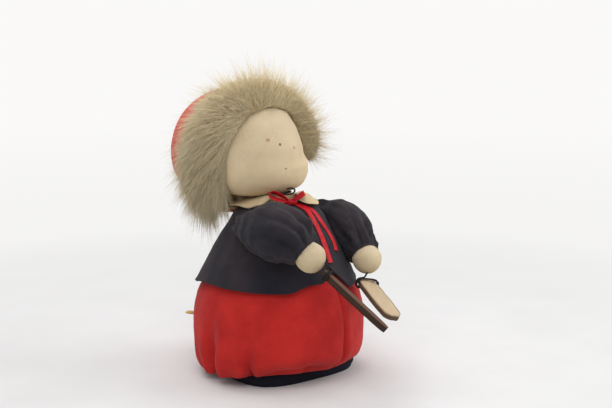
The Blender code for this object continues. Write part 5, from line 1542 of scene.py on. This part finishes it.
@dataclass
class Collar:
    """Cream neckband and two curled flaps with pointed corners."""

    turn: float = math.radians(-15.0)
    band_radius: float = 14.2 * MM
    thickness: float = 0.8 * MM
    band_inner: float = 13.3 * MM
    band_thickness: float = 0.6 * MM
    band_z: float = 110.8 * MM
    band_top_z: float = 111.9 * MM
    band_rise: float = 4.0 * MM
    right_rows: tuple = ((46.0, 18.0, 115.2, 112.9, 0.2), (58.0, 25.5, 114.7, 109.8, 0.2),
                         (77.0, 26.5, 113.8, 108.2, 0.0), (94.0, 27.0, 112.6, 107.8, 0.0))
    left_rows: tuple = ((14.0, 18.5, 114.4, 111.6, 2.4), (25.0, 24.0, 114.6, 109.8, 3.6),
                        (37.0, 26.8, 114.2, 108.6, 2.6), (48.0, 24.8, 113.6, 108.0, 0.8),
                        (77.0, 26.0, 112.6, 107.6, 0.0))
    back_rows: tuple = ((113.0, 29.0, 111.8, 107.6, 0.0), (122.0, 31.5, 111.5, 106.4, 0.0),
                        (140.0, 27.0, 111.3, 107.0, 0.0), (171.0, 24.0, 111.3, 107.6, 0.0))

    def rows(self, side: Side) -> tuple:
        """Rows of angle from the collar's front, reach, inner and outer height, and crest."""
        return (self.right_rows if side is Side.RIGHT else self.left_rows) + self.back_rows

    def build(self, wardrobe: Wardrobe) -> None:
        """Build the band and both flaps, and put them on the torso's body."""
        self.build_band(wardrobe)
        for side in Side:
            self.build_flap(wardrobe, side)

    def build_band(self, wardrobe: Wardrobe) -> None:
        """The standing band, higher in front, with a turned edge."""
        def place(angle: float, share: float) -> Vector:
            """A point of the band."""
            facing = max(0.0, math.cos(angle - self.turn)) ** 2
            top = self.band_top_z + self.band_rise * facing
            wave = 0.15 * MM * math.sin(7.0 * angle) * share
            return around_z(self.band_inner + wave, angle, self.band_z + (top - self.band_z) * share)

        band = wrapped(tube_grid("neckband_cotton", 120, 14), place)
        real_size_uv(band, FULL_TURN * self.band_radius, 10.0 * MM)
        finish_with(band, "SOLIDIFY", thickness=self.band_thickness, offset=1.0)
        tint(band, lambda p: (1.0, 0.94, 0.80))
        soften(band)
        wardrobe.dress(band, wardrobe.finishes.cotton, Body.TORSO, "neckband")

    def build_flap(self, wardrobe: Wardrobe, side: Side) -> None:
        """One flap: a soft sheet that stands at the neck, falls outward and rolls at its edge."""
        rows = self.rows(side)
        first, last = rows[0][0], rows[-1][0]
        reaches, inner, outer, crest = ([(row[0], row[k]) for row in rows] for k in (1, 2, 3, 4))

        def place(across: float, along: float) -> Vector:
            """A point of the flap."""
            degrees = first + (last - first) * along
            angle = math.radians(degrees)
            radius = self.band_radius + (table(reaches, degrees) * MM - self.band_radius) * across
            fall = across ** 1.4
            z = table(inner, degrees) + (table(outer, degrees) - table(inner, degrees)) * fall
            wave = 0.35 * math.sin(9.0 * angle + side.value) * across ** 2
            curl = 0.5 * bump(across, 1.0, 0.12) + table(crest, degrees) * math.sin(math.pi * across ** 0.85)
            turn = side.value * angle + self.turn
            return around_z(radius, turn, (z + wave + curl) * MM)

        flap = laid(flat_grid("collar_cotton_" + side.word, 26, 90), place)
        real_size_uv(flap, 14.0 * MM, 50.0 * MM)
        face_outward(flap)
        upward = flap.data.polygons[len(flap.data.polygons) // 2].normal.z > 0.0
        finish_with(flap, "SOLIDIFY", thickness=self.thickness, offset=1.0 if upward else -1.0)
        finish_with(flap, "BEVEL", width=0.2 * MM, segments=2)
        tint(flap, lambda p: (1.02, 0.98, 0.88))
        soften(flap)
        wardrobe.dress(flap, wardrobe.finishes.cotton, Body.TORSO, "collar_flap_" + side.word)


@dataclass
class Ribbon:
    """Red satin bow with two loops, its knot and two long tails."""

    jacket: Jacket
    width: float = 3.4 * MM
    thickness: float = 0.35 * MM
    turn: float = math.radians(-30.0)
    knot_radius: float = 2.3 * MM
    reach: float = 18.0 * MM
    knot_side: float = 3.0 * MM
    knot_z: float = 112.0 * MM
    tail_z: float = 59.0 * MM
    tail_span: float = 51.5 * MM

    def at(self, side: float, up: float, out: float = 0.0) -> Vector:
        """A point in the bow's upright plane, from the knot's middle."""
        local = Vector((self.knot_side + side, -self.reach - out, self.knot_z + up))
        return upright(self.turn) @ local

    def strip(self, name: str, points: Sequence[Vector], ups: Sequence[Vector], widths: Sequence[float],
              steps: int) -> bpy.types.Object:
        """A satin strip along points, its width along the ups.

        Args:
            name: The piece's name.
            points: The strip's middle line.
            ups: The direction of its width at each point.
            widths: Its width at each point.
            steps: Faces along it.

        Returns:
            The piece.
        """
        line = through(points, steps + 1)
        sides = through(ups, steps + 1)
        sizes = [v.x for v in through([Vector((w, 0.0, 0.0)) for w in widths], steps + 1)]

        def place(across: float, along: float) -> Vector:
            """A point of the strip, slightly hollow across."""
            k = min(steps, round(along * steps))
            ahead = line[min(k + 1, steps)] - line[max(k - 1, 0)]
            face = ahead.cross(sides[k]).normalized()
            hollow = 0.10 * sizes[k] * (2.0 * across - 1.0) ** 2
            return line[k] + sides[k].normalized() * sizes[k] * (across - 0.5) + face * hollow

        strip = laid(flat_grid(name, 8, steps), place)
        real_size_uv(strip, self.width, sum((b - a).length for a, b in zip(line, line[1:])))
        finish_with(strip, "SOLIDIFY", thickness=self.thickness, offset=0.0)
        soften(strip)
        return strip

    def build(self, wardrobe: Wardrobe) -> None:
        """Build the bow and put it on the torso's body."""
        satin = wardrobe.finishes.satin
        turn = upright(self.turn)

        def knot_place(place: Vector) -> Vector:
            """A point of the knot, wrapped by two turns of ribbon."""
            ridge = 1.0 + 0.06 * math.cos(9.0 * place.z + 2.0 * place.x)
            local = Vector((place.x * 1.75, place.y * 0.8, place.z * 0.85)) * self.knot_radius * ridge
            return self.at(0.0, 0.0) + turn @ local

        knot = shaped(ball("bow_knot_satin", 40, 28), knot_place)
        real_size_uv(knot, 12.0 * MM, 6.0 * MM)
        soften(knot)
        wardrobe.dress(knot, satin, Body.TORSO, "bow_knot")
        forward = turn @ Vector((0.0, -1.0, 0.0))
        loops = ((Side.RIGHT, -14.4, 6.2, 2.1, 0.75), (Side.LEFT, 8.4, 5.4, 0.5, 0.12))
        for side, tip_side, tip_up, bulge_size, edge_on in loops:
            tip = Vector((tip_side, tip_up)) * MM
            over = Vector((-tip.y, tip.x)).normalized() * side.value
            start = 0.12
            points, ups, widths = [], [], []
            for i in range(17):
                turn_share = math.pi * (0.04 + 1.92 * i / 16)
                out = start + (1.0 - start) * 0.5 * (1.0 - math.cos(turn_share))
                bulge = bulge_size * MM * math.sin(turn_share) * (0.25 + 0.75 * out)
                flat = tip * out + over * bulge
                depth = 0.9 * MM + 0.8 * MM * math.sin(turn_share) * (1.0 - edge_on)
                points.append(self.at(flat.x, flat.y, depth))
                swing = math.sin(turn_share) if edge_on > 0.5 else 1.0
                in_plane = turn @ Vector((over.x, 0.0, over.y))
                ups.append(forward * edge_on + in_plane * (1.0 - 0.45 * edge_on) * swing)
                widths.append(self.width * (0.60 + 0.40 * min(1.0, 2.0 * (out - start))))
            loop = self.strip("bow_loop_satin_" + side.word, points, ups, widths, 64)
            wardrobe.dress(loop, satin, Body.TORSO, "bow_loop_" + side.word)
        self.build_tails(wardrobe)

    def build_tails(self, wardrobe: Wardrobe) -> None:
        """Two tails that lie down the jacket's front."""
        tails = {
            Side.RIGHT: ((-10.0, 0.985), (-4.0, 0.968), (-0.5, 0.925), (0.6, 0.843), (3.4, 0.708),
                         (2.3, 0.572), (1.1, 0.446), (0.4, 0.335)),
            Side.LEFT: ((-6.0, 0.990), (3.0, 0.972), (8.5, 0.930), (11.5, 0.885), (14.5, 0.789),
                        (18.0, 0.672), (18.0, 0.55), (14.0, 0.438)),
        }
        for side, route in tails.items():
            points, normals = [], []
            for degrees, share in route:
                z = self.tail_z + share * self.tail_span
                angle = math.radians(degrees)
                base = self.jacket.surface(angle, z, 0.75 * MM)
                normals.append((self.jacket.surface(angle, z, 2.0 * MM) - base).normalized())
                points.append(base)
            line = through(points, 40)
            outs = through(normals, 40)
            ahead = [line[min(i + 1, 39)] - line[max(i - 1, 0)] for i in range(40)]
            ups = [way.cross(out).normalized() for way, out in zip(ahead, outs)]
            widths = [self.width * (0.80 + 0.35 * min(1.0, i / 6.0)) for i in range(40)]
            tail = self.strip("ribbon_tail_satin_" + side.word, line, ups, widths, 90)
            wardrobe.dress(tail, wardrobe.finishes.satin, Body.TORSO, "ribbon_tail_" + side.word)


@dataclass
class Hook:
    """Bent wire dress hook at the front of the neckband."""

    wire_radius: float = 0.55 * MM
    half_length: float = 5.6 * MM
    half_height: float = 1.9 * MM
    aside: float = 1.0 * MM
    reach: float = 16.6 * MM
    z: float = 118.5 * MM
    turn: float = math.radians(-30.0)

    def build(self, wardrobe: Wardrobe) -> None:
        """Build the hook and put it on the torso's body."""
        bends = ((-1.0, -0.5), (-0.6, -0.9), (0.0, -1.0), (0.6, -0.9), (0.97, -0.25), (0.9, 0.6), (0.5, 1.0),
                 (0.0, 0.85))
        knots = []
        for along, up in bends:
            angle = (along * self.half_length + self.aside) / self.reach + self.turn
            knots.append(around_z(self.reach, angle, self.z + up * self.half_height))
        hook = wire("hook_wire", through(knots, 60), self.wire_radius)
        wardrobe.dress(hook, wardrobe.finishes.wire, Body.TORSO, "hook")


@dataclass
class Board:
    """One little wooden board and the black cord that ties it under a hand."""

    side: Side
    top: Vector
    tip: Vector
    facing: Vector
    length: float = 50.0 * MM
    width: float = 13.0 * MM
    thickness: float = 3.6 * MM
    cord_radius: float = 0.55 * MM
    cord_step: float = 2.6 * MM
    cord_gap: float = 0.4 * MM

    @property
    def body(self) -> Body:
        """The body that the board rides on."""
        return Body["BOARD_" + self.side.name]

    @property
    def frame(self) -> Matrix:
        """Places a board drawn with its top at the origin, its length along +Y and its face to +Z."""
        along = (self.tip - self.top).normalized()
        normal = (self.facing - along * self.facing.dot(along)).normalized()
        placed = Matrix((along.cross(normal), along, normal)).transposed().to_4x4()
        placed.translation = self.top
        return placed

    def build(self, wardrobe: Wardrobe) -> None:
        """Build the board and its tie."""
        board = primitive("board_wood_" + self.side.word, bpy.ops.mesh.primitive_cube_add, size=1.0)
        with editing(board):
            bpy.ops.mesh.subdivide(number_cuts=9)
            bpy.ops.mesh.subdivide(number_cuts=3)
        frame_matrix = self.frame
        widths = ((0.0, 0.72), (0.14, 0.96), (0.60, 1.0), (0.86, 0.93), (0.93, 0.84), (0.97, 0.66),
                  (1.0, 0.40))

        def place(p: Vector) -> Vector:
            """A point of the board, rough along its sawn edges."""
            along = unit(p.y + 0.5)
            edge = abs(p.x) * 2.0
            x = p.x * self.width * table(widths, along, smooth=False)
            x += 0.35 * MM * noise.noise(Vector((p.x * 2.0, along * 9.0, self.side.value * 4.0))) * edge ** 4
            z = p.z * self.thickness
            z += 0.10 * MM * noise.noise(Vector((p.x * 5.0, along * 16.0, p.z)))
            rounding = 0.5 * MM * max(0.0, edge - 0.86) / 0.14
            z -= math.copysign(min(rounding, 0.45 * MM), p.z) * (abs(p.z) > 0.49)
            return frame_matrix @ Vector((x, along * self.length, z))

        shaped(board, place)
        self.grain_uv(board)
        face_outward(board)
        tint(board, self.bark_and_painted_shade)
        soften(board, 40.0)
        wood = wardrobe.finishes.brown_wood if self.side is Side.RIGHT else wardrobe.finishes.pale_wood
        wardrobe.dress(board, wood, self.body, "board_" + self.side.word)
        self.build_tie(wardrobe)

    def grain_uv(self, board: bpy.types.Object) -> None:
        """Lay the UV map along the grain, in metres."""
        inverse = self.frame.inverted()
        layer = board.data.uv_layers.active
        for polygon in board.data.polygons:
            for loop in polygon.loop_indices:
                local = inverse @ board.data.vertices[board.data.loops[loop].vertex_index].co
                layer.data[loop].uv = (local.x + 1.7 * local.z, local.y)

    def bark_and_painted_shade(self, place: Vector) -> Colour:
        """The pale board keeps dark bark on its edge and underside; the brown one is darker inside, as
        painted shade.
        """
        local = self.frame.inverted() @ place
        inside = local.z < 0.36 * self.thickness
        if self.side is Side.LEFT:
            if local.z < 0.30 * self.thickness:
                return (0.20, 0.16, 0.14)
            worn = patchy(local, 5.0 * MM)
            return (0.92 + 0.10 * worn, 0.92 + 0.08 * worn, 0.92 + 0.06 * worn)
        # Painted shade on the brown board's inner side.
        shade = 0.35 if inside and local.x > 0.0 else 1.0
        return (shade, shade, shade)

    def build_tie(self, wardrobe: Wardrobe) -> None:
        """Two turns of black cord round the board's top, up to the hand, with a loose end."""
        joints = {joint["name"]: joint for joint in frame["joints"]}
        start = Vector(joints["board_" + self.side.word + "_swing"]["pos_m"])
        wide = 0.5 * self.width + self.cord_gap + self.cord_radius
        thick = 0.5 * self.thickness + self.cord_gap + self.cord_radius
        placed = self.frame
        turns = ((0.30, 1.25, 0.60), (0.60, 1.12, 0.95), (0.90, 0.80, 1.0), (1.0, 0.0, 1.0),
                 (0.90, -0.80, 1.0), (0.60, -1.10, 1.0),
                 (-0.60, -1.10, 1.0), (-0.90, -0.80, 1.0), (-1.0, 0.0, 1.05),
                 (-0.90, 0.80, 1.1), (-0.60, 1.12, 1.15), (0.0, 1.20, 1.3), (0.60, 1.15, 1.5),
                 (0.93, 0.80, 1.6),
                 (1.03, 0.0, 1.62), (0.93, -0.80, 1.6), (0.60, -1.15, 1.55), (-0.60, -1.15, 1.5),
                 (-0.93, -0.80, 1.55), (-1.02, 0.0, 1.6), (-0.93, 0.80, 1.65), (-0.50, 1.25, 1.6))
        loop = [placed @ Vector((a * wide, c * self.cord_step, b * thick)) for a, b, c in turns]
        cord = wire("board_cord_" + self.side.word, through([start] + loop, 190), self.cord_radius)
        wardrobe.dress(cord, wardrobe.finishes.cord, self.body, "board_tie_" + self.side.word)


def main() -> None:
    """Build the studio and every piece."""
    logging.basicConfig(level=logging.INFO, format="%(name)s: %(message)s")
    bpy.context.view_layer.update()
    studio = Studio()
    studio.add_camera()
    studio.add_floor()
    studio.add_lights()
    wardrobe = Wardrobe()
    Sole().build(wardrobe)
    Trousers().build(wardrobe)
    Peg().build(wardrobe)
    jacket = Jacket()
    jacket.build(wardrobe)
    Collar().build(wardrobe)
    Ribbon(jacket).build(wardrobe)
    Hook().build(wardrobe)
    Arm(Side.RIGHT, 0.0, jacket).build(wardrobe)
    left_shift = Vector((1.2, -1.2, -1.0)) * MM
    Arm(Side.LEFT, math.radians(10.0), jacket, shift=left_shift, overhang=1.0 * MM).build(wardrobe)
    Board(Side.RIGHT, Vector((-24.9, -61.2, 77.5)) * MM, Vector((-9.0, -96.4, 45.7)) * MM,
          Vector((0.48, -0.51, 0.73))).build(wardrobe)
    Board(Side.LEFT, Vector((24.0, -52.0, 62.0)) * MM, Vector((6.3, -90.0, 48.7)) * MM,
          Vector((0.11, -0.32, 0.94)), 44.0 * MM).build(wardrobe)
    head = Head(studio)
    head.build(wardrobe)
    hood = Hood(head)
    hood.build(wardrobe)
    FurTrim(hood).build(wardrobe)


if __name__ == "__main__":
    main()
